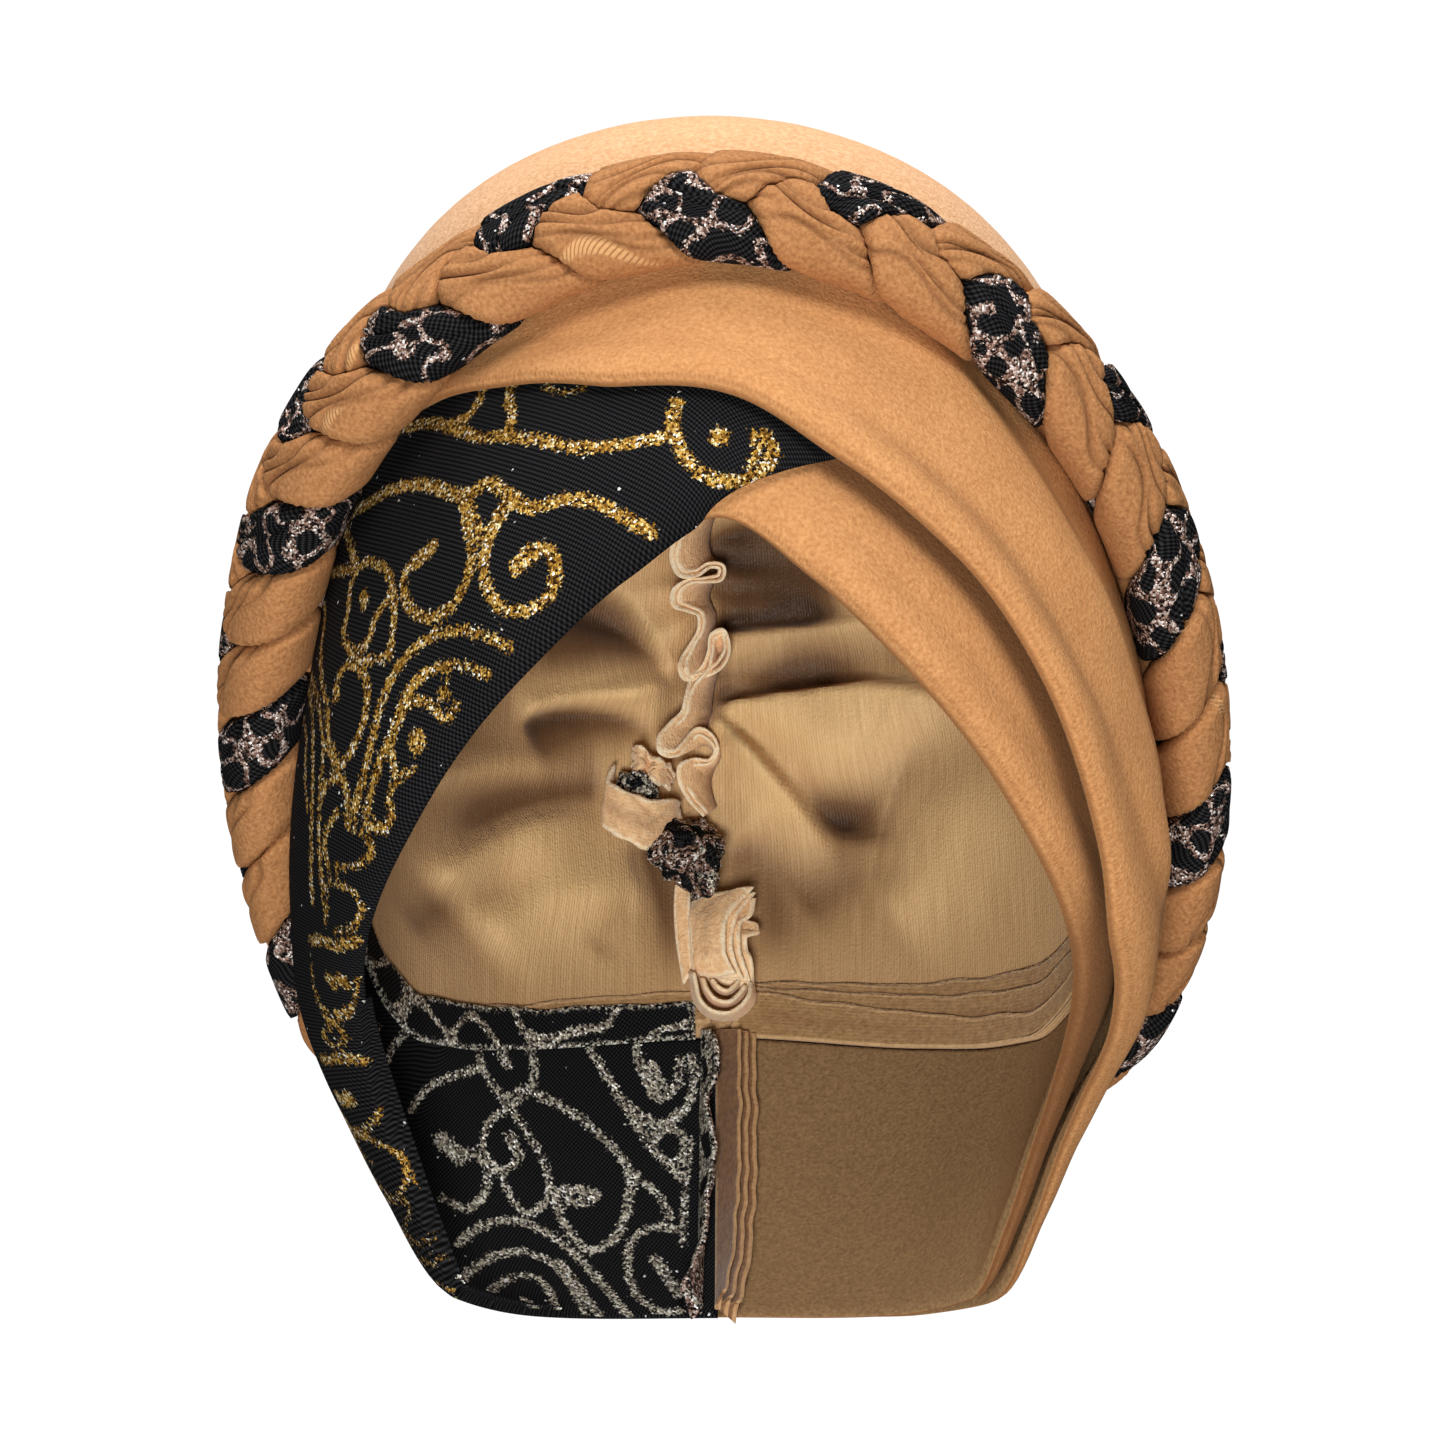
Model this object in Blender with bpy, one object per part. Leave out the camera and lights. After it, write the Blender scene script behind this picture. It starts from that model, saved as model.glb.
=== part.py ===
"""Braided turban cap: a gathered jersey crown on a wrapped band, with a three-strand braid over the seam.

The cap is modelled as it sits on a head: +Z up, the face towards -Y. Azimuth 0 is the front, 90 is +X and
180 is the centre back. Lengths are in millimetres until a piece is made, and then in metres.
"""
import math

import bmesh
import bpy
import numpy as np

MILLIMETRE = 0.001


def table(columns, *rows):
    """A short table with named columns, as one array for each column."""
    return {name: np.array(values, float) for name, values in zip(columns, zip(*rows))}


# Driving sizes
RIM_HALF_WIDTH, RIM_FRONT, RIM_BACK = 74.0, -69.0, 69.0
SEAM_HALF_WIDTH, SEAM_FRONT, SEAM_BACK = 89.0, -49.0, 97.0
HEAD_TOP = np.array((-4.0, 24.0, 178.0))
CROWN_FULLNESS = 2.3
CROWN_BACK_PUFF = 8.0
CROWN_WALL = 1.6
LAYER_GAP = 0.4
SWELL_LEAN = 0.75

# Heights of the opening's rim and of the seam under the braid
HEIGHTS = table(
    ("azimuth", "rim", "seam"),
    (0, 66, 133),
    (15, 54, 129),
    (30, 38, 118),
    (45, 22, 103),
    (60, 6, 84),
    (75, -6, 60),
    (90, -16, 33),
    (105, -29, 5),
    (116, -44, -10),
    (125, -61, -15),
    (133, -75, -15),
    (148, -77, -13),
    (180, -76, -8),
)

# How far the band swells between rim and seam, and how far the seam lies outside its ellipse
SIDES = table(
    ("azimuth", "swell", "seam_out"),
    (-180, 8, 0),
    (-150, 11, -4),
    (-128, 15, -8),
    (-108, 15, -6.5),
    (-92, 11, -2.5),
    (-75, 9, 0),
    (-60, 8, 1),
    (0, 7, 0),
    (60, 7, 0),
    (80, 8, 1),
    (95, 7, 1.5),
    (108, 3.5, 0),
    (120, 1.5, -1.5),
    (135, 2, -2),
    (150, 5, -1),
    (180, 8, 0),
)

# The three layers of the band. Lower and upper are shares of the way from rim to seam; inner_low and inner_high
# are how far the layer lies outside the innermost surface at its lower edge and at the seam; roll is the share of
# the full rolled edge.
BAND_COLUMNS = ("azimuth", "lower", "upper", "inner_low", "inner_high", "roll")
UNDER_WRAP = table(
    BAND_COLUMNS,
    (-26, 0.0, 0.977, 0.0, 0.0, 0.0),
    (5, 0.0, 0.977, 0.0, 0.0, 0.0),
    (25, 0.0, 0.977, 0.0, 0.0, 1.0),
    (125, 0.0, 0.977, 0.0, 0.0, 1.0),
    (142, 0.0, 0.977, 0.0, 0.0, 0.3),
    (179.85, 0.0, 0.977, 0.0, 0.0, 0.1),
)
LUREX_BAND = table(
    BAND_COLUMNS,
    (-179.85, 0.0, 0.972, 0.0, 0.0, 0.3),
    (-45, 0.0, 0.972, 0.0, 0.0, 0.3),
    (-31, 0.0, 0.977, 2.8, 1.6, 0.3),
    (-5, 0.0, 0.977, 2.8, 1.6, 0.3),
    (14, 0.29, 0.977, 2.8, 1.6, 0.0),
    (47, 0.91, 0.977, 2.8, 1.6, 0.0),
)
UPPER_WRAP = table(
    BAND_COLUMNS,
    (-46, 0.94, 0.977, 3.0, 2.4, 0.3),
    (-39, 0.87, 0.977, 4.4, 2.9, 0.6),
    (-25, 0.67, 0.977, 5.3, 3.2, 0.7),
    (-12, 0.47, 0.977, 5.3, 3.2, 0.8),
    (2, 0.33, 0.977, 5.3, 3.2, 0.9),
    (15, 0.29, 0.977, 5.3, 3.2, 1.0),
    (32, 0.28, 0.977, 5.3, 3.2, 1.0),
    (48, 0.22, 0.977, 5.3, 3.2, 1.0),
    (66, 0.11, 0.977, 5.6, 2.2, 1.0),
    (80, 0.04, 0.977, 5.8, 1.8, 1.0),
    (112, 0.03, 0.977, 5.4, 1.8, 1.0),
    (128, 0.03, 0.977, 5.4, 1.8, 0.7),
    (145, 0.02, 0.977, 3.6, 1.8, 0.6),
    (179.85, 0.02, 0.977, 2.6, 1.8, 0.3),
)
AZIMUTH_STEP = 9.0
BAND_TOP = 0.97
BLEND_START = 0.2
WALL_LOW, WALL_HIGH = 1.8, 1.2
EDGE_ROUNDING = 0.6
COLUMN_ROOM = 1.5
BODY_SHARES = (0.25, 0.5, 0.75, 1.0)

# Section of a rolled edge: distance from the edge, and how far its two faces stand off beside the plain wall
ROLL = table(
    ("run", "inner", "outer"),
    (0.0, 0.9, 0.9),
    (1.6, 0.2, 2.1),
    (4.4, 0.0, 2.8),
    (8.5, 0.0, 1.7),
    (13.0, 0.0, 0.3),
)
ROLL_ROOM = 26.0

# The soft ridge that falls from the seam at the front to the rim at the right
RIDGE = table(
    ("azimuth", "share"),
    (14, 0.97),
    (28, 0.82),
    (38, 0.71),
    (48, 0.64),
    (57, 0.57),
    (65, 0.51),
    (72, 0.42),
    (78, 0.30),
    (88, 0.16),
    (104, 0.08),
)
RIDGE_LIFT = 3.0
RIDGE_STARTS, RIDGE_GROWS = 8, 20
RIDGE_ENDS, RIDGE_SINKS = 118, 25
RIDGE_SEAM_FADE = 0.25
RIDGE_WIDTH_BELOW, RIDGE_WIDTH_ABOVE = 16.0, 7.0

# Folds that run out from the gathered centre-back seam: where each starts and ends, across and up from the foot of
# the seam, and how deep and wide it is. A negative depth stands out.
CREASES = table(
    ("start_across", "start_up", "end_across", "end_up", "depth", "width"),
    (6, 99, 70, 112, 4.0, 9),
    (6, 88, 60, 97, -2.5, 8),
    (6, 84, 52, 44, 4.5, 11),
    (8, 60, 60, 74, 2.5, 9),
    (-6, 92, -50, 116, -3.0, 9),
    (-6, 84, -62, 88, 4.0, 10),
    (-8, 66, -66, 62, 3.5, 11),
    (4, 128, 44, 150, 3.0, 10),
    (-5, 126, -46, 146, 3.0, 10),
)
CREASE_LEAD_IN = 0.1
CREASE_FADE_FROM, CREASE_FADE_RUN = 0.35, 0.75
CREASE_SEAM_START, CREASE_SEAM_FADE = 5.0, 8.0
CREASE_SIDE_FADE = 30.0
CREASE_FOOT_SHARE = 0.25
CROWN_AZIMUTHS = (0, 14, 28, 42, 56, 70, 83, 95, 106, 116, 125, 133, 141, 148, 155, 161, 167, 172.5, 177)
CROWN_SHARES = (0.0, 0.06, 0.12, 0.18, 0.25, 0.32, 0.39, 0.46, 0.53, 0.60, 0.67, 0.75, 0.84, 0.93)

# The braid: turns along it by azimuth, and the shape of its strands
BRAID_TURNS = table(
    ("azimuth", "turns"),
    (-179.6, -6.1),
    (-109.5, -4),
    (-86.5, -3),
    (-63.8, -2),
    (-37.2, -1),
    (-2.2, 0),
    (34.5, 1),
    (66.2, 2),
    (91.8, 3),
    (113, 4),
    (179.6, 6),
)
BRAID_OUT = table(
    ("azimuth", "out"),
    (-180, 11.6),
    (-146, 12.2),
    (-130, 13.8),
    (-106, 13.8),
    (-90, 12.4),
    (-75, 12.0),
    (-50, 14.3),
    (-30, 15.2),
    (0, 15.8),
    (30, 15.2),
    (60, 14.2),
    (90, 13.6),
    (180, 13.6),
)
BRAID_UP = 1.7
BRAID_TILT_FRONT = 0.36
BRAID_HALF_SIZE = np.array((14.5, 8.8))
STRAND_SWING, STRAND_RISE = 7.2, 4.3
STRAND_HALF_SIZE = np.array((10.0, 7.0))
STRAND_GAP = 0.9
STRAND_SIDES = 7
SECTIONS_PER_TURN = 12
LUREX_LOBE_PHASE = 232.0
STRAND_END_TAPER, STRAND_END_SIZE = 0.15, 0.62

# Seam allowances inside
ALLOWANCE_WALL = 1.3
ALLOWANCE_START = 172.5
ALLOWANCE_FOOT, ALLOWANCE_TOP = 0.008, 0.045
LAYERS_MEET, LAYERS_APART = -42.0, 0.4

# The ruffle inside the crown's centre-back seam
RUFFLE_FOOT, RUFFLE_TOP = 64.0, 168.0
RUFFLE_PITCH = 14.0
RUFFLE_ACROSS = -4.0
RUFFLE_SWING, RUFFLE_LOOP = 6.4, 4.0
RUFFLE_DEPTH, RUFFLE_WALL = 9.0, 1.6
RUFFLE_ROOT_DEPTH, RUFFLE_ROOT_SWING = 0.9, 0.35
RUFFLE_STATIONS_PER_WAVE = 6

# The upright allowances inside the nape
NAPE_SEAM_FOOT, NAPE_SEAM_TOP = -74.0, -3.5
NAPE_SEAM_WAVES = 3.5
NAPE_SEAM_CLEARANCE = 1.3

# The tabs inside: each row is the upper and the lower end of the strip there, as across, up and depth
TAB_COLUMNS = ("across", "up", "depth", "foot_across", "foot_up", "foot_depth")
TAB_TAN = table(
    TAB_COLUMNS,
    (-25, 66, 3.0, -22, 52, 4.5),
    (-21, 64, 7.0, -18, 50, 8.0),
    (-15, 62, 7.5, -12, 49, 8.0),
    (-9, 60, 4.0, -7, 51, 4.5),
    (-6, 59, 1.8, -5, 52, 1.8),
)
TAB_THICK = table(
    TAB_COLUMNS,
    (-6.5, 33, 1.3, -6.5, 4, 1.3),
    (-4.0, 34, 8.0, -4.0, 3, 8.0),
    (1.5, 35, 10.5, 1.5, 2, 10.5),
    (6.0, 34, 8.0, 7.0, 1.5, 8.0),
    (9.0, 33, 2.6, 10.0, 2, 2.6),
)
TAB_CURL_ACROSS, TAB_CURL_UP = -8.0, 42.0
TAB_CURL_START, TAB_CURL_END = -100, 200
TAB_CURL_RADIUS, TAB_CURL_DROOP = 5.0, 2.0
TAB_CURL_ROOT, TAB_CURL_DEPTH = 1.4, 13.0
TAB_TAN_WALL, TAB_LUREX_WALL, TAB_THICK_WALL = 1.8, 2.2, 3.0

# Colour (linear), roughness and metallic value of each cloth
TAN_BRUSHED = ((0.42, 0.19, 0.065), 0.9, 0.0)
TAN_SATIN = ((0.36, 0.20, 0.08), 0.55, 0.0)
TAN_EDGE = ((0.55, 0.33, 0.15), 0.8, 0.0)
BLACK_LUREX = ((0.012, 0.012, 0.014), 0.6, 0.0)


def smooth(xs, ys, x):
    """A curve through a table's points that never overshoots them."""
    steps = np.diff(xs)
    slopes = np.diff(ys) / steps
    tangents = np.zeros_like(ys)
    for i in range(1, len(xs) - 1):
        if slopes[i - 1] * slopes[i] > 0:
            before = 2 * steps[i] + steps[i - 1]
            after = steps[i] + 2 * steps[i - 1]
            tangents[i] = (before + after) / (before / slopes[i - 1] + after / slopes[i])
    x = np.clip(x, xs[0], xs[-1])
    i = np.clip(np.searchsorted(xs, x, side="right") - 1, 0, len(xs) - 2)
    s = (x - xs[i]) / steps[i]
    return ((2 * s ** 3 - 3 * s ** 2 + 1) * ys[i] + (s ** 3 - 2 * s ** 2 + s) * steps[i] * tangents[i]
            + (3 * s ** 2 - 2 * s ** 3) * ys[i + 1] + (s ** 3 - s ** 2) * steps[i] * tangents[i + 1])


def read(rows, column, azimuth):
    """A table's column at an azimuth."""
    return smooth(rows["azimuth"], rows[column], azimuth)


def ease(x):
    """A smooth step from 0 to 1."""
    x = np.clip(x, 0.0, 1.0)
    return x * x * (3 - 2 * x)


def outward(azimuth):
    """The level direction straight out from the head."""
    angle = np.radians(azimuth)
    return np.stack((np.sin(angle), -np.cos(angle), np.zeros_like(angle)), -1)


def ring(azimuth, half_width, front, back, heights):
    """A ring that is an ellipse seen from above."""
    angle = np.radians(azimuth)
    middle, reach = (back + front) / 2, (back - front) / 2
    return np.stack((half_width * np.sin(angle), middle - reach * np.cos(angle),
                     read(HEIGHTS, heights, np.abs(azimuth))), -1)


def seam_ring(azimuth):
    level = ring(azimuth, SEAM_HALF_WIDTH, SEAM_FRONT, SEAM_BACK, "seam")
    return level + outward(azimuth) * np.asarray(read(SIDES, "seam_out", azimuth))[..., None]


def rim_ring(azimuth):
    return ring(azimuth, RIM_HALF_WIDTH, RIM_FRONT, RIM_BACK, "rim")


def band_surface(azimuth, share):
    """The innermost surface of the band, from the rim at share 0 to the seam at share 1."""
    azimuth, share = np.broadcast_arrays(np.asarray(azimuth, float), np.asarray(share, float))
    swell = read(SIDES, "swell", azimuth) * np.sin(math.pi * np.clip(share, 0, 1) ** SWELL_LEAN)
    straight = rim_ring(azimuth) * (1 - share)[..., None] + seam_ring(azimuth) * share[..., None]
    return straight + outward(azimuth) * swell[..., None]


def crown_surface(azimuth, share):
    """The inner surface of the smooth crown, from the seam at share 0 to the top at share 1."""
    azimuth, share = np.broadcast_arrays(np.asarray(azimuth, float), np.asarray(share, float))
    foot = seam_ring(azimuth)
    level = np.cos(share * math.pi / 2) ** (2 / CROWN_FULLNESS)
    rise = np.sin(share * math.pi / 2) ** (2 / CROWN_FULLNESS)
    point = HEAD_TOP + (foot - HEAD_TOP) * np.stack((level, level, 1 - rise), -1)
    puff = CROWN_BACK_PUFF * (1 - np.cos(np.radians(azimuth))) / 2 * np.sin(math.pi * share)
    return point + outward(azimuth) * puff[..., None]


def normals(surface, azimuth, share):
    """Outward unit normals of a surface that is given as a function of azimuth and share."""
    turn, climb = 0.5, 0.01
    low, high = np.clip(share - climb, 0, 1), np.clip(share + climb, 0, 1)
    across = surface(azimuth + turn, share) - surface(azimuth - turn, share)
    along = surface(azimuth, high) - surface(azimuth, low)
    normal = np.cross(across, along)
    normal /= np.linalg.norm(normal, axis=-1, keepdims=True)
    facing = np.sum(normal * (outward(azimuth) + np.array((0, 0, 0.5))), axis=-1, keepdims=True)
    return normal * np.where(facing < 0, -1.0, 1.0)


def crease_depth(azimuth, share):
    """How far the crown is pushed in by the folds that start at its gathered seam."""
    foot = crown_surface(180.0, 0.0)
    point = crown_surface(azimuth, share)
    across = point[..., 0]
    up = np.linalg.norm(point[..., 1:] - foot[1:], axis=-1)
    depth = np.zeros_like(across)
    for row in zip(*CREASES.values()):
        start, end, amount, width = np.array(row[0:2]), np.array(row[2:4]), row[4], row[5]
        run = end - start
        length = np.linalg.norm(run)
        along = ((across - start[0]) * run[0] + (up - start[1]) * run[1]) / length ** 2
        aside = ((across - start[0]) * run[1] - (up - start[1]) * run[0]) / length
        start_fade = ease((along + CREASE_LEAD_IN) / (2 * CREASE_LEAD_IN))
        fade = start_fade * (1 - ease((along - CREASE_FADE_FROM) / CREASE_FADE_RUN))
        depth += amount * fade * np.exp(-(aside / width) ** 2)
    behind = ease((point[..., 1] - HEAD_TOP[1]) / CREASE_SIDE_FADE)
    beside = ease((np.abs(across - RUFFLE_ACROSS) - CREASE_SEAM_START) / CREASE_SEAM_FADE)
    return depth * behind * beside * ease(share / CREASE_FOOT_SHARE)


def crown_grid(azimuth, share, offset):
    """Points of the creased crown at an offset outside its inner surface."""
    lift = offset - crease_depth(azimuth, share)
    return crown_surface(azimuth, share) + normals(crown_surface, azimuth, share) * lift[..., None]


def make_piece(name, points, faces, cloth):
    """Make one object from points in millimetres, with its material, and return it."""
    mesh = bpy.data.meshes.new(name)
    placed = (np.asarray(points) - HEAD_TOP) * MILLIMETRE
    mesh.from_pydata([tuple(map(float, point)) for point in placed], [], faces)
    shape = bmesh.new()
    shape.from_mesh(mesh)
    bmesh.ops.recalc_face_normals(shape, faces=shape.faces)
    shape.to_mesh(mesh)
    shape.free()
    mesh.shade_smooth()
    mesh.materials.append(cloth_material(name, *cloth))
    piece = bpy.data.objects.new(name, mesh)
    bpy.context.scene.collection.objects.link(piece)
    return piece


def cloth_material(name, colour, roughness, metallic):
    material = bpy.data.materials.new(name)
    material.use_nodes = True
    shader = material.node_tree.nodes["Principled BSDF"]
    shader.inputs["Base Color"].default_value = (*colour, 1.0)
    shader.inputs["Roughness"].default_value = roughness
    shader.inputs["Metallic"].default_value = metallic
    return material


def sheet_piece(name, inner, outer, cloth):
    """An open sheet of cloth with a real thickness, from grids of its two faces."""
    columns, rows = inner.shape[:2]
    count = columns * rows
    points = np.concatenate((inner.reshape(-1, 3), outer.reshape(-1, 3)))
    faces = []
    for i in range(columns - 1):
        for j in range(rows - 1):
            a, b = i * rows + j, (i + 1) * rows + j
            faces.append((a, a + 1, b + 1, b))
            faces.append((count + a, count + b, count + b + 1, count + a + 1))
    border = [i * rows for i in range(columns)]
    border += [(columns - 1) * rows + j for j in range(1, rows)]
    border += [i * rows + rows - 1 for i in range(columns - 2, -1, -1)]
    border += [j for j in range(rows - 2, 0, -1)]
    for a, b in zip(border, border[1:] + border[:1]):
        faces.append((a, b, count + b, count + a))
    return make_piece(name, points, faces, cloth)


def tube_piece(name, sections, cloth):
    """A closed solid through a run of sections with equal numbers of points."""
    sections = np.asarray(sections)
    count, sides = sections.shape[:2]
    faces = [tuple(range(sides)), tuple(range((count - 1) * sides, count * sides))]
    for i in range(count - 1):
        for j in range(sides):
            a, b = i * sides + j, i * sides + (j + 1) % sides
            faces.append((a, b, b + sides, a + sides))
    return make_piece(name, sections.reshape(-1, 3), faces, cloth)


def crown_columns():
    """The crown's azimuths all the way round, closer together at the gathered back."""
    half = np.array(CROWN_AZIMUTHS[1:], float)
    return np.concatenate((-half[::-1], (0.0,), half))


def crown():
    """The dome: two closed skins joined along the seam."""
    azimuths = crown_columns()
    columns, rows = len(azimuths), len(CROWN_SHARES)
    grid = np.meshgrid(azimuths, CROWN_SHARES, indexing="ij")
    points, faces = [], []
    for skin, offset in enumerate((0.0, CROWN_WALL)):
        points.append(crown_grid(grid[0], grid[1], np.full(grid[0].shape, offset)).reshape(-1, 3))
        points.append([HEAD_TOP + (0, 0, offset)])
        base = skin * (columns * rows + 1)
        for i in range(columns):
            here, there = base + i * rows, base + (i + 1) % columns * rows
            faces += [(here + j, there + j, there + j + 1, here + j + 1) for j in range(rows - 1)]
            faces.append((here + rows - 1, there + rows - 1, base + columns * rows))
    step = columns * rows + 1
    for i in range(columns):
        here, there = i * rows, (i + 1) % columns * rows
        faces.append((here, there, there + step, here + step))
    return make_piece("crown", np.concatenate(points), faces, TAN_SATIN)


def ridge_lift(azimuth, share, height):
    """The lift of the upper wrap along its falling ridge."""
    aside = (share - smooth(RIDGE["azimuth"], RIDGE["share"], azimuth)) * height
    width = np.where(aside > 0, RIDGE_WIDTH_ABOVE, RIDGE_WIDTH_BELOW)
    reach = ease((azimuth - RIDGE_STARTS) / RIDGE_GROWS) * ease((RIDGE_ENDS - azimuth) / RIDGE_SINKS)
    reach = reach * ease((BAND_TOP - share) / RIDGE_SEAM_FADE)
    return RIDGE_LIFT * reach * np.exp(-(aside / width) ** 2)


def band_azimuths(layer):
    """The columns of a band layer: its own ends and the steps that all layers share between them."""
    start, end = layer["azimuth"][0], layer["azimuth"][-1]
    steps = np.arange(-180 + AZIMUTH_STEP, 180, AZIMUTH_STEP)
    inside = steps[(steps > start + COLUMN_ROOM) & (steps < end - COLUMN_ROOM)]
    return np.concatenate(((start,), inside, (end,)))


def band_grids(layer, ridged):
    """The inner and outer face of a band layer, with its rolled lower edge."""
    azimuths = band_azimuths(layer)
    inner, outer = [], []
    for azimuth in azimuths:
        lower, upper = read(layer, "lower", azimuth), read(layer, "upper", azimuth)
        height = np.linalg.norm(seam_ring(azimuth) - rim_ring(azimuth))
        tall = (upper - lower) * height
        fit = min(1.0, tall / ROLL_ROOM)
        edge = lower + ROLL["run"] * fit / height
        share = np.concatenate((edge, edge[-1] + (upper - edge[-1]) * np.array(BODY_SHARES)))
        plain = np.zeros(len(BODY_SHARES))
        roll = read(layer, "roll", azimuth) * fit
        blend = ease((share - BLEND_START) / (BAND_TOP - BLEND_START))
        inner_low, inner_high = read(layer, "inner_low", azimuth), read(layer, "inner_high", azimuth)
        base = inner_low + (inner_high - inner_low) * blend
        wall = WALL_LOW + (WALL_HIGH - WALL_LOW) * blend
        if ridged:
            base = base + ridge_lift(azimuth, share, height)
        column = np.full_like(share, azimuth)
        surface = band_surface(column, share)
        normal = normals(band_surface, column, share)
        low = base + np.concatenate((ROLL["inner"] * roll, plain))
        high = base + wall + np.concatenate((ROLL["outer"] * roll, plain))
        high[0] = base[0] + wall[0] * EDGE_ROUNDING + ROLL["outer"][0] * roll
        inner.append(surface + normal * low[:, None])
        outer.append(surface + normal * high[:, None])
    return np.array(inner), np.array(outer)


def band_piece(name, layer, cloth, ridged=False):
    inner, outer = band_grids(layer, ridged)
    return sheet_piece(name, inner, outer, cloth)


def braid_frame(azimuth):
    """Centre, sideways and outward directions of the braid, which lies over the seam."""
    step = 0.5
    centre = seam_ring(azimuth) + outward(azimuth) * read(BRAID_OUT, "out", azimuth) + np.array((0, 0, BRAID_UP))
    along = seam_ring(azimuth + step) - seam_ring(azimuth - step)
    along /= np.linalg.norm(along)
    tilt = BRAID_TILT_FRONT * (1 + math.cos(math.radians(azimuth))) / 2
    out = outward(azimuth) + np.array((0, 0, tilt))
    out -= along * np.dot(out, along)
    out /= np.linalg.norm(out)
    return centre, np.cross(out, along), out


def strand_centre(angle):
    """Where a strand lies in the braid's section, at an angle of its turn."""
    return np.array((STRAND_SWING * math.sin(angle), STRAND_RISE * math.sin(2 * angle)))


def strand_section(angle):
    """A strand's outline inside the braid's own outline. Two neighbours share a dividing line from each section to
    the next, and each keeps half of the gap from it."""
    turns = 2 * math.pi * (np.arange(STRAND_SIDES) + 0.5) / STRAND_SIDES
    ways = np.stack((np.cos(turns), np.sin(turns)), -1)
    centre = strand_centre(angle)
    reaches = 1 / np.linalg.norm(ways / STRAND_HALF_SIZE, axis=1)
    place, slope = centre / BRAID_HALF_SIZE, ways / BRAID_HALF_SIZE
    square, cross = np.sum(slope ** 2, axis=1), slope @ place
    to_braid_edge = (np.sqrt(cross ** 2 + square * (1 - place @ place)) - cross) / square
    reaches = np.minimum(reaches, to_braid_edge)
    for shift in (-math.pi / SECTIONS_PER_TURN, math.pi / SECTIONS_PER_TURN):
        for other in (2 * math.pi / 3, -2 * math.pi / 3):
            mine, neighbour = strand_centre(angle + shift), strand_centre(angle + shift + other)
            apart = (neighbour - mine) / np.linalg.norm(neighbour - mine)
            room = ((mine + neighbour) / 2 - centre) @ apart - STRAND_GAP / 2
            reaches = np.minimum(reaches, room / np.maximum(ways @ apart, 0.001))
    return centre + ways * reaches[:, None]


def strand(name, phase, cloth):
    """One of the braid's three strands, from the centre back round the front and back again."""
    first, last = BRAID_TURNS["turns"][0], BRAID_TURNS["turns"][-1]
    turns = np.linspace(first, last, round((last - first) * SECTIONS_PER_TURN) + 1)
    azimuths = smooth(BRAID_TURNS["turns"], BRAID_TURNS["azimuth"], turns)
    sections = []
    for turn, azimuth in zip(turns, azimuths):
        centre, side, out = braid_frame(azimuth)
        to_end = min(turn - first, last - turn)
        size = STRAND_END_SIZE + (1 - STRAND_END_SIZE) * ease(to_end / STRAND_END_TAPER)
        outline = strand_section(2 * math.pi * turn + phase) * size
        sections.append([centre + side * x + out * y for x, y in outline])
    return tube_piece(name, sections, cloth)


def back_point(across, up):
    """A point of the inner face near the centre back, by distances across and up from the foot of the seam."""
    places = np.linspace(-1, 1, 161)
    nape = band_surface(180.0, 1 + places[places < 0])
    dome = crown_surface(180.0, places[places >= 0])
    line = np.concatenate((nape, dome))
    distance = np.concatenate(((0.0,), np.cumsum(np.linalg.norm(np.diff(line, axis=0), axis=1))))
    place = np.interp(up, distance - distance[len(nape)], places)
    if place < 0:
        reach = across / (SEAM_HALF_WIDTH * (1 + place) - RIM_HALF_WIDTH * place)
        return band_surface(180.0 - math.degrees(math.asin(reach)), 1 + place)
    level = math.cos(place * math.pi / 2) ** (2 / CROWN_FULLNESS)
    reach = (HEAD_TOP[0] + (across - HEAD_TOP[0]) / level) / SEAM_HALF_WIDTH
    azimuth = 180.0 - math.degrees(math.asin(reach))
    dent = max(0.0, float(crease_depth(np.array(azimuth), np.array(place))))
    return crown_surface(azimuth, place) - outward(azimuth) * dent


def back_frame(across, up):
    """Point, upward direction and inward direction on the inner face near the centre back."""
    step = 1.5
    along = back_point(across, up + step) - back_point(across, up - step)
    aside = back_point(across + step, up) - back_point(across - step, up)
    inward = np.cross(aside, along)
    return back_point(across, up), along / np.linalg.norm(along), inward / np.linalg.norm(inward)


def ruffle():
    """The gathered allowance, a wall that swings from side to side and stands in from the crown's back seam."""
    waves = (RUFFLE_TOP - RUFFLE_FOOT) / RUFFLE_PITCH
    sections = []
    for step in np.linspace(0, 1, int(waves * RUFFLE_STATIONS_PER_WAVE) + 1):
        angle = 2 * math.pi * waves * step
        up = RUFFLE_FOOT + (RUFFLE_TOP - RUFFLE_FOOT) * step
        slope = np.array((2 * math.pi / RUFFLE_PITCH * RUFFLE_SWING * math.cos(angle), 1.0))
        slope /= np.linalg.norm(slope)
        across = np.array((slope[1], -slope[0])) * RUFFLE_WALL / 2
        section = []
        root, edge = (RUFFLE_ROOT_DEPTH, RUFFLE_ROOT_SWING), (RUFFLE_DEPTH, 1.0)
        for (depth, swing), side in ((root, -1), (root, 1), (edge, 1), (edge, -1)):
            x = RUFFLE_ACROSS + RUFFLE_SWING * swing * math.sin(angle) + side * across[0]
            point, along, inward = back_frame(x, up + RUFFLE_LOOP * swing * math.sin(2 * angle) / 2)
            section.append(point + along * side * across[1] * swing + inward * depth)
        sections.append(section)
    return tube_piece("crown_seam_ruffle", sections, TAN_EDGE)


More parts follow.
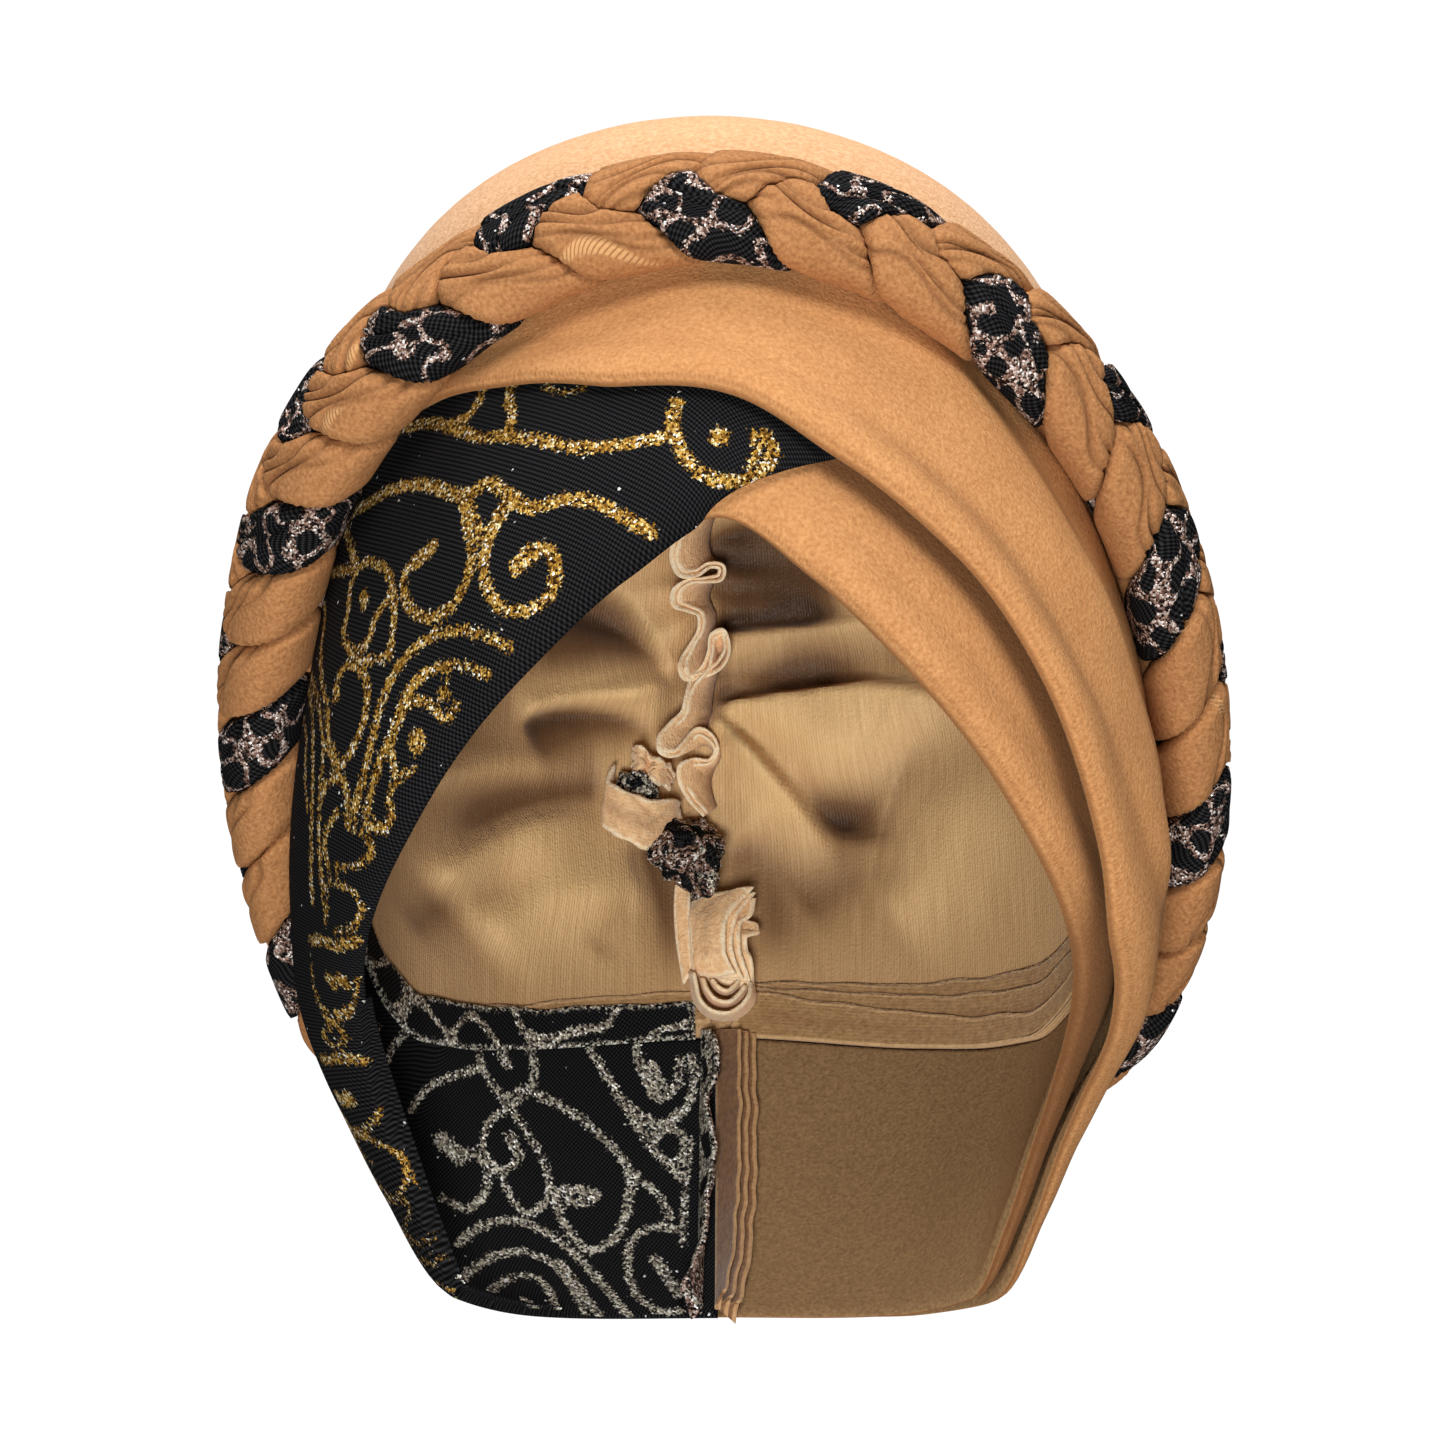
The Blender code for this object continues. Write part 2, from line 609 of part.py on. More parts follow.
def seam_allowance(name, start, end, cloth):
    """A strip of cloth that lies against the inside of the crown, standing up from the seam."""
    columns = crown_columns()
    inside = columns[(columns > start + COLUMN_ROOM) & (columns < end - COLUMN_ROOM)]
    azimuths = np.concatenate(((start,), inside, (end,)))
    grid = np.meshgrid(azimuths, (ALLOWANCE_FOOT, ALLOWANCE_TOP), indexing="ij")
    faces = []
    for depth in (-LAYER_GAP - ALLOWANCE_WALL, -LAYER_GAP):
        faces.append(crown_grid(grid[0], grid[1], np.full(grid[0].shape, depth)))
    return sheet_piece(name, faces[0], faces[1], cloth)


def ribbon(name, rows, thickness, cloth):
    """A strip of cloth inside the centre back. Each row is across, up and depth for its near and its far edge."""
    edges = []
    for row in rows:
        for across, up, depth in (row[:3], row[3:]):
            point, _, inward = back_frame(across, up)
            edges.append(point + inward * depth)
    near, far = np.array(edges[0::2]), np.array(edges[1::2])
    normal = np.cross(np.gradient((near + far) / 2, axis=0), far - near)
    normal *= thickness / 2 / np.linalg.norm(normal, axis=1, keepdims=True)
    sections = np.stack((near - normal, near + normal, far + normal, far - normal), 1)
    return tube_piece(name, sections, cloth)


def nape_seam(name, across, sway, depth, wall, cloth):
    """An upright allowance that stands in from the seam at the centre back of the nape."""
    rows = []
    for step in np.linspace(0, 1, 15):
        up = NAPE_SEAM_FOOT + (NAPE_SEAM_TOP - NAPE_SEAM_FOOT) * step
        swing = sway * math.sin(2 * math.pi * NAPE_SEAM_WAVES * step)
        rows.append((across, up, NAPE_SEAM_CLEARANCE, across + swing, up, depth))
    return ribbon(name, rows, wall, cloth)


def tabs():
    """The ends of the braid's strands, which come through the seam and curl."""
    ribbon("tab_tan", zip(*TAB_TAN.values()), TAB_TAN_WALL, TAN_EDGE)
    curl = []
    for turn in np.linspace(TAB_CURL_START, TAB_CURL_END, 9):
        across = TAB_CURL_ACROSS + TAB_CURL_RADIUS * math.cos(math.radians(turn))
        up = TAB_CURL_UP + TAB_CURL_RADIUS * math.sin(math.radians(turn))
        curl.append((across, up, TAB_CURL_ROOT, across, up - TAB_CURL_DROOP, TAB_CURL_DEPTH))
    ribbon("tab_lurex", curl, TAB_LUREX_WALL, BLACK_LUREX)
    ribbon("tab_thick", zip(*TAB_THICK.values()), TAB_THICK_WALL, TAN_EDGE)


def main():
    for item in list(bpy.data.objects):
        bpy.data.objects.remove(item, do_unlink=True)
    crown()
    ruffle()
    band_piece("under_wrap", UNDER_WRAP, TAN_BRUSHED)
    band_piece("lurex_band", LUREX_BAND, BLACK_LUREX)
    band_piece("upper_wrap", UPPER_WRAP, TAN_BRUSHED, ridged=True)
    phase = math.radians(LUREX_LOBE_PHASE)
    strand("strand_lurex", phase, BLACK_LUREX)
    strand("strand_tan_a", phase + 2 * math.pi / 3, TAN_BRUSHED)
    strand("strand_tan_b", phase - 2 * math.pi / 3, TAN_BRUSHED)
    seam_allowance("band_seam_lurex", -ALLOWANCE_START, LAYERS_MEET - LAYERS_APART, BLACK_LUREX)
    seam_allowance("band_seam_tan", LAYERS_MEET + LAYERS_APART, ALLOWANCE_START, TAN_EDGE)
    nape_seam("nape_seam_lurex", across=-2.6, sway=1.6, depth=7.0, wall=1.8, cloth=BLACK_LUREX)
    nape_seam("nape_seam_tan", across=3.4, sway=0.8, depth=8.0, wall=3.0, cloth=TAN_EDGE)
    tabs()


main()
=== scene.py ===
"""Braided turban cap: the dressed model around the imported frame.

Lengths are in millimetres, measured from the middle of the opening's rim, until a piece is made. They are
then in metres in the frame of the row, whose origin is HEAD_TOP. Azimuth 0 is the front, 90 is +X and 180 is
the centre back. A share is a place between 0 and 1: up the band from its rim to its seam, or up the crown from
there to its top.
"""
import math

import bpy
import numpy as np
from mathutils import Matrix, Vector
from mathutils.bvhtree import BVHTree


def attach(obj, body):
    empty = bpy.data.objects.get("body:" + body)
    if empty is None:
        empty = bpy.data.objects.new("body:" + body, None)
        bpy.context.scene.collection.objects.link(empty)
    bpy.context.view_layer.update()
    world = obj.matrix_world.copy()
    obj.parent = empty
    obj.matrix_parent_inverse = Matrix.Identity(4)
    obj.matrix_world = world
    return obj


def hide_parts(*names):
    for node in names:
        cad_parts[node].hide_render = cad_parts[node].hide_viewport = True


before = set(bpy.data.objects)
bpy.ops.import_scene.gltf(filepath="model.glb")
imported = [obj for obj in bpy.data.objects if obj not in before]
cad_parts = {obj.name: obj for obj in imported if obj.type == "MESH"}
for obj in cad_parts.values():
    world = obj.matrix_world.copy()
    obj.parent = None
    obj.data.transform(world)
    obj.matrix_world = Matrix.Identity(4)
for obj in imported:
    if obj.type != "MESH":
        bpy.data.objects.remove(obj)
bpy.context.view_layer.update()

MILLIMETRE = 0.001
BODY = "root"
FULL_TURN = 2 * math.pi


def table(columns, *rows):
    """A short table with named columns, as one array for each column."""
    return {name: np.array(values, float) for name, values in zip(columns.split(), zip(*rows))}


# Driving sizes, as in the solids
RIM_HALF_WIDTH, RIM_FRONT, RIM_BACK = 74.0, -69.0, 69.0
SEAM_HALF_WIDTH, SEAM_FRONT, SEAM_BACK = 89.0, -49.0, 97.0
HEAD_TOP = np.array((-4.0, 24.0, 178.0))
CROWN_FULLNESS = 2.3
CROWN_BACK_PUFF = 8.0
CROWN_WALL = 1.6
SWELL_LEAN = 0.75
HEIGHTS = table(
    "azimuth rim seam",
    (0, 66, 133), (15, 54, 129), (30, 38, 118), (45, 22, 103), (60, 6, 84), (75, -6, 60), (90, -16, 33),
    (105, -29, 5), (116, -44, -10), (125, -61, -15), (133, -75, -15), (148, -77, -13), (180, -76, -8),
)
SIDES = table(
    "azimuth swell seam_out",
    (-180, 8, 0), (-150, 11, -4), (-128, 15, -8), (-108, 15, -6.5), (-92, 11, -2.5), (-75, 9, 0), (-60, 8, 1),
    (0, 7, 0), (60, 7, 0), (80, 8, 1), (95, 7, 1.5), (108, 3.5, 0), (120, 1.5, -1.5), (135, 2, -2),
    (150, 5, -1), (180, 8, 0),
)

# The three layers of the band, as in the solids: where each starts and ends up the band, how far it lies out
# from the innermost surface low down and high up, and how much its lower edge is rolled
LAYER = "azimuth lower upper inner_low inner_high roll"
UNDER_WRAP = table(
    LAYER,
    (-26, 0, 0.992, 0, 0, 0), (5, 0, 0.992, 0, 0, 0), (25, 0, 0.992, 0, 0, 1), (125, 0, 0.992, 0, 0, 1),
    (142, 0, 0.992, 0, 0, 0.3), (180, 0, 0.992, 0, 0, 0.1),
)
LUREX_BAND = table(
    LAYER,
    (-180, 0, 0.99, 0, 0, 0.3), (-45, 0, 0.99, 0, 0, 0.3), (-31, 0, 0.992, 2.8, 1.6, 0.3),
    (-5, 0, 0.992, 2.8, 1.6, 0.3), (14, 0.29, 0.992, 2.8, 1.6, 0), (47, 0.91, 0.992, 2.8, 1.6, 0),
)
UPPER_WRAP = table(
    LAYER,
    (-46, 0.94, 0.992, 3.0, 2.4, 0.3), (-39, 0.87, 0.992, 4.4, 2.9, 0.6), (-25, 0.67, 0.992, 5.3, 3.2, 0.7),
    (-12, 0.47, 0.992, 5.3, 3.2, 0.8), (2, 0.33, 0.992, 5.3, 3.2, 0.9), (15, 0.29, 0.992, 5.3, 3.2, 1),
    (32, 0.28, 0.992, 5.3, 3.2, 1), (48, 0.22, 0.992, 5.3, 3.2, 1), (66, 0.11, 0.992, 5.6, 2.2, 1),
    (80, 0.04, 0.992, 5.8, 1.8, 1), (112, 0.03, 0.992, 5.4, 1.8, 1), (128, 0.03, 0.992, 5.4, 1.8, 0.7),
    (145, 0.04, 0.992, 3.6, 1.8, 0.6), (180, 0.05, 0.992, 2.6, 1.8, 0.3),
)
WALL_LOW, WALL_HIGH = 1.8, 1.2
BAND_TOP = 0.97
BLEND_START = 0.2
ROLL = table("run inner outer", (0, 0.9, 0.9), (1.6, 0.2, 2.1), (4.4, 0, 2.8), (8.5, 0, 1.7), (13, 0, 0.3))
ROLL_ROOM = 26.0
RIDGE = table(
    "azimuth share",
    (14, 0.97), (28, 0.82), (38, 0.71), (48, 0.64), (57, 0.57), (65, 0.51), (72, 0.42), (78, 0.30), (88, 0.16),
    (104, 0.08),
)
RIDGE_LIFT = 3.0
RIDGE_STARTS, RIDGE_GROWS = 8, 20
RIDGE_ENDS, RIDGE_SINKS = 118, 25
RIDGE_SEAM_FADE = 0.25
RIDGE_WIDTH_BELOW, RIDGE_WIDTH_ABOVE = 16.0, 7.0

# The outer wrap's soft lengthwise folds, its tuck below the seam, and the shade beside its edge and its ridge
WRAP_FOLD_RUN, WRAP_FOLD_SEAM_FADE = 12, 0.2
WRAP_FOLD_TURNS, WRAP_FOLD_SLANT = 3.1, 95
WRAP_FOLD_FRONT, WRAP_SIDE_FROM, WRAP_SIDE_GROWS = 0.25, 15, 40
TUCK_BELOW, TUCK_WIDTH, TUCK_LIFT = 0.1, 0.05, 0.7
TUCK_STARTS, TUCK_GROWS = -45, 20
CREASE_SHADE = 2.0
EDGE_SHADE_WIDTH = 3.0
RIDGE_SHADE_UP, RIDGE_SHADE_WIDTH = 8, 3.5
ROLL_SHADE_PART, ROLL_SHADE_RUN, ROLL_SHADE_WIDTH = 0.8, 11.5, 3.0

# Folds that run out from the gathered centre-back seam: where each starts and ends, across and up from the
# seam's foot, and how deep and wide it is. A negative depth stands out.
CREASES = (
    ((6, 99), (70, 112), 4.0, 9), ((6, 88), (60, 97), -2.5, 8), ((6, 84), (52, 44), 4.5, 11),
    ((8, 60), (60, 74), 2.5, 9), ((-6, 92), (-50, 116), -3.0, 9), ((-6, 84), (-62, 88), 4.0, 10),
    ((-8, 66), (-66, 62), 3.5, 11), ((4, 128), (44, 150), 3.0, 10), ((-5, 126), (-46, 146), 3.0, 10),
)
CREASE_LEAD_IN = 0.1
CREASE_FADE_FROM, CREASE_FADE_RUN = 0.35, 0.75
CREASE_SEAM_START, CREASE_SEAM_FADE = 5.0, 8.0
CREASE_SIDE_FADE = 30.0
CREASE_FOOT_SHARE = 0.25

# How the charted folds of the crown's inside fade along their lines, towards the front and towards the seam
FOLD_FALL = 1.5
FOLD_BEGINS, FOLD_ENDS = 0.12, 0.4
FOLD_SIDE_FADE, FOLD_FOOT_SHARE = 20, 0.1

# The braid: turns along it by azimuth, how far out and how large it is, and the shape of its strands
BRAID_TURNS = table(
    "azimuth turns",
    (-179.6, -6.1), (-109.5, -4), (-86.5, -3), (-63.8, -2), (-37.2, -1), (-2.2, 0), (34.5, 1), (66.2, 2),
    (91.8, 3), (113, 4), (179.6, 6),
)
BRAID_OUT = table(
    "azimuth out size",
    (-180, 11.6, 1), (-146, 11.6, 0.98), (-130, 11.2, 0.98), (-118, 11.2, 1.02), (-106, 11.6, 1.08),
    (-90, 11.4, 1.15), (-75, 11.4, 1.2), (-60, 12.6, 1.2), (-45, 14.2, 1.14), (-30, 14.8, 1), (0, 15.2, 0.95),
    (30, 14.8, 0.98), (60, 13.9, 1.08), (90, 12, 1.12), (110, 11.6, 1.04), (125, 11.4, 0.98), (180, 13, 1),
)
BRAID_UP = 1.7
BRAID_TILT_FRONT = 0.36
BRAID_HALF_SIZE = np.array((14.5, 8.8))
STRAND_SWING, STRAND_RISE = 7.2, 4.3
LUREX_LOBE_PHASE = 232.0
STRAND_END_TAPER, STRAND_END_SIZE = 0.15, 0.62

# Fineness of the dressed pieces
COLUMN_WIDTH = 1.62
SHEET_SPACING, SEAM_SPACING = 1.25, 1.5
FOLD_RUNS = (0.03, 0.12, 0.35, 0.7, 1.1, 1.6, 2.2, 3.0, 4.0, 5.2, 6.6, 8.2, 10.0, 12.0)
FOLD_RADIUS = 2.2
CROWN_BACK_FROM = 120
CROWN_BACK_COLUMNS, CROWN_FRONT_COLUMNS, CROWN_ROWS = 100, 55, 185
CROWN_TOP_SHARE, CROWN_HEIGHT = 0.99, 190.0
FAR_FROM_EDGE = 20.0

# The crown's fine pleats beside its gathered seam
GATHER_PITCH, GATHER_REACH, GATHER_DEPTH = 8.5, 13.0, 0.9
GATHER_FOOT, GATHER_TOP, GATHER_FADE = 50.0, 178.0, 25.0
GATHER_SLANT_LEFT, GATHER_SLANT_RIGHT, GATHER_SHIFT_LEFT = 0.22, 0.10, 3.0
GATHER_SEAM_START, GATHER_SEAM_FADE = 1.0, 4

# The strands' soft section and its creases, each a direction in degrees and a depth
FINE_SECTIONS, FINE_SIDES = 56, 72
FINE_HALF_SIZE = np.array((14.0, 9.0))
FINE_GAP = 0.4
SOFT_CORNER = 9
TURN_LENGTH, GIRTH_LENGTH = 50.0, 7.0
STRAND_CREASES = ((52, 2.0), (84, 2.4), (112, 2.1), (140, 1.6), (20, 1.6))
CREASE_WIDTH, CREASE_DRIFT = 0.7, 0.22
CREASE_MEAN, CREASE_VARIES = 0.55, 0.45
# Strips of bare satin that show where a tan strand is rolled: start and end in turns, direction and half width
BARE_STRIPS = (
    ("strand_tan_a", -0.50, -0.13, 160, 1.7), ("strand_tan_b", -1.28, -1.13, 150, 1.3),
    ("strand_tan_a", -1.47, -1.32, 150, 1.2), ("strand_tan_a", 2.46, 2.64, 150, 1.2),
)
BARE_STRIP_SOFT = 0.4

# The ruffle inside the crown's centre-back seam
RUFFLE_ACROSS = -4.0
RUFFLE_DEPTH = 9.0
RUFFLE_STATIONS, RUFFLE_ROWS = 300, 12
RUFFLE_ROOT_X, RUFFLE_ROOT_TOP, RUFFLE_ROOT_RUN = 719, 514, 296
RUFFLE_ROOT_SWING, RUFFLE_ROOT_CALM = 0.22, 20
RUFFLE_ROOT_DEPTH, RUFFLE_ROOT_APART, RUFFLE_APART = 0.9, 0.8, 2.6
RUFFLE_LEAST_HEIGHT = 4.0
RUFFLE_SINKS, RUFFLE_VARIES = 0.6, 0.7

# The allowances of the seam between crown and band: start and end azimuth, the heights of foot and top above
# the seam as azimuths with their values, and how deep each lies in from the inner face
BLACK_SEAMS = (
    (-176.5, -42.4, ((-180, -42), (-1.2, -1.2)), ((-180, -150, -126, -60), (8.0, 8.6, 9.4, 8.0)), 1.1),
)
SEAM_TOP_VARIES, SEAM_TURN = 0.35, 1.5
SEAM_ROWS = 14
TAN_SEAM_AZIMUTHS = (-42, 100, 126, 150, 173)
TAN_SEAMS = (
    (-179.0, -140.0, ((-180, -140), (3.0, 3.0)), ((-180, -160, -140), (11.0, 10.6, 9.2)), 0.5),
    (-41.6, 178.0, ((-42, 180), (-0.6, -0.6)), (TAN_SEAM_AZIMUTHS, (14.0, 17.0, 17.0, 15.0, 13.2)), 0.7),
    (-41.6, 178.0, ((-42, 180), (-0.8, -0.8)), (TAN_SEAM_AZIMUTHS, (10.0, 12.4, 12.4, 12.2, 11.8)), 1.5),
    (-41.6, 178.0, ((-42, 180), (-1.0, -1.0)), (TAN_SEAM_AZIMUTHS, (5.0, 5.5, 6.0, 8.0, 10.2)), 2.4),
)

# The upright allowances inside the nape, from foot to top: each row is a point of the root and one of the cut
# edge, as across, up and depth. The tan one has more layers, each shifted across and less deep.
BLACK_NAPE_ROWS = (
    (-3.6, -78.0, 0.8, -6.0, -82.5, 4.0), (-3.6, -73.0, 0.8, -8.6, -76.0, 6.0),
    (-3.6, -66.0, 0.8, -6.4, -68.0, 7.0), (-3.6, -58.0, 0.8, -3.6, -58.0, 7.0),
    (-3.6, -45.0, 0.8, -2.2, -45.0, 7.5), (-3.6, -30.0, 0.8, -0.6, -30.0, 7.0),
    (-3.6, -18.0, 0.8, -2.4, -18.0, 7.0), (-3.6, -8.0, 0.8, 0.4, -8.0, 7.0), (-3.6, 1.2, 0.8, -1.6, 0.0, 6.0),
)
TAN_NAPE_ROWS = (
    (-0.6, -76.5, 0.9, 0.6, -81.5, 5.0), (-0.6, -70.0, 0.9, 2.2, -73.0, 6.0),
    (-0.6, -60.0, 0.9, 3.6, -60.0, 6.5), (-0.6, -30.0, 0.9, 5.2, -30.0, 6.5), (-0.6, 1.2, 0.9, 5.6, 0.0, 6.5),
)
NAPE_LAYERS = ((0.0, 0.0), (1.7, -1.5), (3.4, -3.0))
NAPE_STATIONS, NAPE_ROWS = 110, 16
NAPE_FOOT = -77.0
NAPE_SWAY = 0.3

# Loose sheets near the centre back: their thicknesses, how much thinner their borders are, and the part of the
# inner face that they are placed on
LOOSE_WALLS = {
    "crown_seam_ruffle": 0.8, "tab_tan": 1.2, "tab_lurex": 1.8, "tab_thick": 1.0,
    "band_seam_lurex": 0.9, "band_seam_tan": 0.6, "nape_seam_lurex": 1.5, "nape_seam_tan": 0.6,
}
EDGE_THINNING = 0.35
BACK_ACROSS, BACK_UP = np.linspace(-34, 20, 55), np.linspace(-84, 174, 173)

# The ornament: how finely a line is followed, how far it reaches, and which azimuths the photograph shows
STROKE_STEP = 4.0
SCROLL_FAR = 6.0
INNER_CHART_TO = -118
RING_RADIUS = 6.5

# The camera: its target is in the frame of the row, in metres
CAMERA_TARGET = Vector((0.005, -0.03435, -0.13936))
CAMERA_DISTANCE = 1.0
CAMERA_ELEVATION = -15.0
CAMERA_LENS, CAMERA_SENSOR = 117.24, 36.0
PHOTO_SIDE = 1445
MILLIMETRES_PER_PIXEL = 0.22

# Studio: floor and lights in metres and watts
FLOOR_HEIGHT, FLOOR_HALF_SIDE = -1.3, 4.0
WORLD_STRENGTH, BACKDROP_STRENGTH = 0.10, 1.05
LAMPS = (
    ("low", (-0.08, -0.95, -0.62), 0.25, 8.8),
    ("key", (0.14, -1.05, 0.58), 0.5, 10.2),
    ("top", (-0.05, -0.20, 1.15), 0.8, 15.0),
)

# Ornament on the black cloth, charted in pixels of the photograph's frame: each row is a half-width in
# millimetres, then the points of a line or of one dot, as across and down
OUTER_LINES = (
    (1.5, 372, 427, 402, 428, 432, 423, 458, 430, 482, 438, 502, 436, 538, 440, 578, 448, 618, 445, 668, 436),
    (1.4, 448, 424, 465, 418, 477, 405, 485, 382), (1.4, 512, 382, 509, 402, 512, 418, 506, 435),
    (1.0, 545, 387, 562, 392, 585, 387), (0.9, 433, 385, 447, 390, 460, 387),
    (1.6, 677, 402, 672, 420, 678, 442, 693, 467, 728, 481, 762, 471, 773, 452, 765, 435),
    (1.2, 753, 433, 757, 448, 750, 467),
    (1.6, 333, 520, 362, 507, 395, 488, 428, 485, 458, 495, 470, 493, 488, 483, 507, 493, 528, 508, 562, 500,
     595, 503, 628, 519, 652, 533),
    (1.4, 462, 498, 468, 532, 472, 555, 463, 588, 445, 612, 428, 617, 412, 610, 404, 592, 406, 572, 417, 558),
    (2.1, 418, 560, 427, 552, 432, 548),
    (1.5, 507, 507, 492, 532, 484, 558, 486, 585, 502, 608, 522, 611, 547, 598, 556, 573, 548, 550, 533, 548,
     522, 558), (2.1, 516, 567, 523, 562, 531, 556), (1.1, 467, 497, 475, 515, 484, 538),
    (1.1, 506, 500, 497, 515, 484, 538), (1.3, 338, 512, 348, 537, 356, 565),
    (1.2, 365, 561, 385, 569, 392, 588, 375, 618, 366, 643, 354, 652, 344, 637, 348, 612, 353, 578, 365, 561),
    (1.2, 305, 562, 325, 572, 353, 569), (1.1, 393, 595, 394, 612, 391, 642, 389, 657, 368, 660, 353, 663),
    (1.1, 318, 580, 325, 612, 321, 648, 322, 682, 327, 708, 328, 735, 338, 762),
    (1.2, 335, 698, 336, 683, 350, 665, 363, 673, 367, 695, 360, 732, 338, 765, 326, 742),
    (1.0, 295, 635, 305, 672, 312, 715, 313, 748, 312, 798, 311, 865, 312, 902),
    (0.9, 305, 652, 317, 698, 323, 742, 320, 792, 319, 838, 323, 902),
    (0.9, 300, 698, 306, 738, 305, 775, 307, 808),
    (1.3, 508, 648, 485, 636, 458, 631, 428, 639, 400, 665, 383, 698, 373, 735, 363, 778, 353, 812),
    (1.3, 488, 675, 455, 665, 428, 672, 407, 693, 395, 725, 380, 762, 370, 798, 368, 825, 385, 827),
    (1.2, 457, 705, 445, 720, 427, 702, 408, 704, 400, 718, 391, 752, 400, 777, 414, 770),
    (1.0, 397, 778, 389, 798, 391, 818, 383, 832), (1.3, 322, 795, 327, 782, 335, 777, 344, 783, 347, 798),
    (1.0, 347, 802, 348, 825, 368, 838, 372, 848, 358, 865, 335, 866),
    (1.1, 337, 812, 329, 825, 324, 845, 328, 865), (0.9, 326, 881, 352, 891, 361, 906, 354, 925, 335, 932),
    (0.7, 326, 884, 327, 904, 325, 927), (1.4, 310, 941, 320, 940, 335, 947, 358, 940),
    (0.7, 310, 950, 312, 975, 320, 1007), (0.7, 313, 991, 320, 1005, 335, 1012, 351, 1005, 358, 978),
    (0.9, 320, 1012, 338, 1028, 347, 1037, 335, 1046, 323, 1035, 338, 1021, 352, 1010),
    (1.4, 317, 1060, 338, 1059, 370, 1061), (1.0, 370, 1061, 381, 1081, 382, 1108, 358, 1131, 344, 1127),
    (0.7, 322, 1069, 329, 1092, 344, 1127),
    (0.9, 352, 1134, 374, 1142, 399, 1156, 406, 1182, 391, 1201, 374, 1188, 361, 1159, 352, 1134),
    (0.8, 407, 1202, 409, 1216, 402, 1236, 418, 1243, 443, 1230), (0.7, 408, 1152, 418, 1177, 436, 1197),
    (0.8, 413, 1255, 429, 1264, 450, 1253), (0.7, 427, 1276, 443, 1286, 466, 1298),
)
OUTER_DOTS = (
    (2.4, 720, 437), (1.8, 363, 595), (1.8, 364, 603), (1.6, 337, 693), (1.9, 444, 692), (2.8, 417, 741),
    (1.3, 322, 535), (2.3, 331, 981), (2.3, 342, 981), (2.4, 340, 1099), (2.4, 349, 1099),
)
INNER_LINES = (
    (1.1, 416, 1012, 410, 1028, 394, 1046, 388, 1060), (1.1, 476, 1032, 480, 1058, 492, 1085, 509, 1108),
    (1.1, 522, 1035, 534, 1062, 534, 1079, 510, 1108), (1.0, 494, 1086, 506, 1096, 525, 1088),
    (1.1, 411, 1110, 428, 1088, 455, 1075, 481, 1068),
    (1.0, 510, 1108, 490, 1122, 482, 1142, 490, 1161, 503, 1171, 517, 1162),
    (1.0, 500, 1172, 506, 1188, 529, 1214, 550, 1198), (1.1, 510, 1108, 532, 1140, 548, 1175, 551, 1198),
    (1.2, 525, 1089, 562, 1106, 600, 1135, 628, 1170, 628, 1205, 612, 1240, 590, 1251, 570, 1232, 554, 1200),
    (1.3, 550, 1196, 570, 1189, 596, 1194), (1.3, 568, 1200, 581, 1203, 595, 1198), (1.5, 509, 1136, 519, 1154),
    (1.1, 635, 1175, 655, 1192, 671, 1218), (2.2, 441, 1140, 450, 1148, 460, 1157),
    (1.1, 460, 1152, 476, 1155, 488, 1172, 486, 1190, 468, 1208, 442, 1198),
    (1.2, 458, 1244, 482, 1226, 518, 1221, 550, 1235, 580, 1260, 628, 1315),
    (1.2, 462, 1278, 490, 1258, 525, 1252, 558, 1268, 575, 1292, 585, 1312),
    (1.0, 560, 1262, 580, 1288, 602, 1318), (1.1, 486, 1295, 510, 1278, 535, 1277, 552, 1295, 558, 1312),
    (1.5, 525, 1300, 536, 1311), (1.2, 582, 1035, 600, 1065, 625, 1105, 650, 1145, 685, 1181),
    (1.2, 635, 1038, 641, 1068, 660, 1098, 676, 1085, 680, 1060), (1.7, 650, 1066, 660, 1084),
    (1.3, 628, 1105, 658, 1125, 685, 1108, 694, 1075, 692, 1058),
    (1.1, 654, 1144, 664, 1129, 682, 1135, 682, 1155, 672, 1165),
    (1.1, 682, 1230, 655, 1227, 632, 1240, 628, 1268, 640, 1299, 665, 1312, 682, 1310),
    (1.5, 655, 1259, 668, 1278, 678, 1294), (0.9, 691, 1140, 686, 1180, 683, 1245),
)
INNER_DOTS = (
    (1.6, 503, 1054), (1.6, 507, 1064),
)
# The same kinds of ornament where the photograph doesn't show the cloth: each motif's azimuth and share
HIDDEN_MOTIFS = (
    ("spiral", -112, 0.62), ("ring", -118, 0.36), ("arcs", -125, 0.1), ("ring", -127, 0.8),
    ("spiral", -134, 0.56), ("arcs", -143, 0.12), ("ring", -146, 0.86), ("ring", -148, 0.42),
    ("spiral", -156, 0.66), ("arcs", -163, 0.12), ("ring", -168, 0.44), ("spiral", -172, 0.78),
    ("arcs", -178, 0.2),
)

# The ruffle's cut edge inside the centre back, charted in pixels of the photograph's frame
RUFFLE_EDGE = (
    (696, 513), (686, 522), (675, 541), (673, 562), (680, 574), (695, 574), (709, 565), (722, 567), (721, 577),
    (706, 580), (686, 582), (675, 591), (675, 604), (687, 609), (699, 614), (700, 628), (689, 648), (681, 668),
    (685, 678), (702, 676), (720, 665), (728, 646), (722, 630), (713, 634), (710, 650), (704, 668), (693, 680),
    (686, 698), (683, 712), (670, 725), (659, 738), (660, 751), (671, 755), (684, 743), (699, 730), (711, 737),
    (716, 750), (709, 761), (693, 761), (681, 766), (680, 779), (690, 798), (705, 815),
)
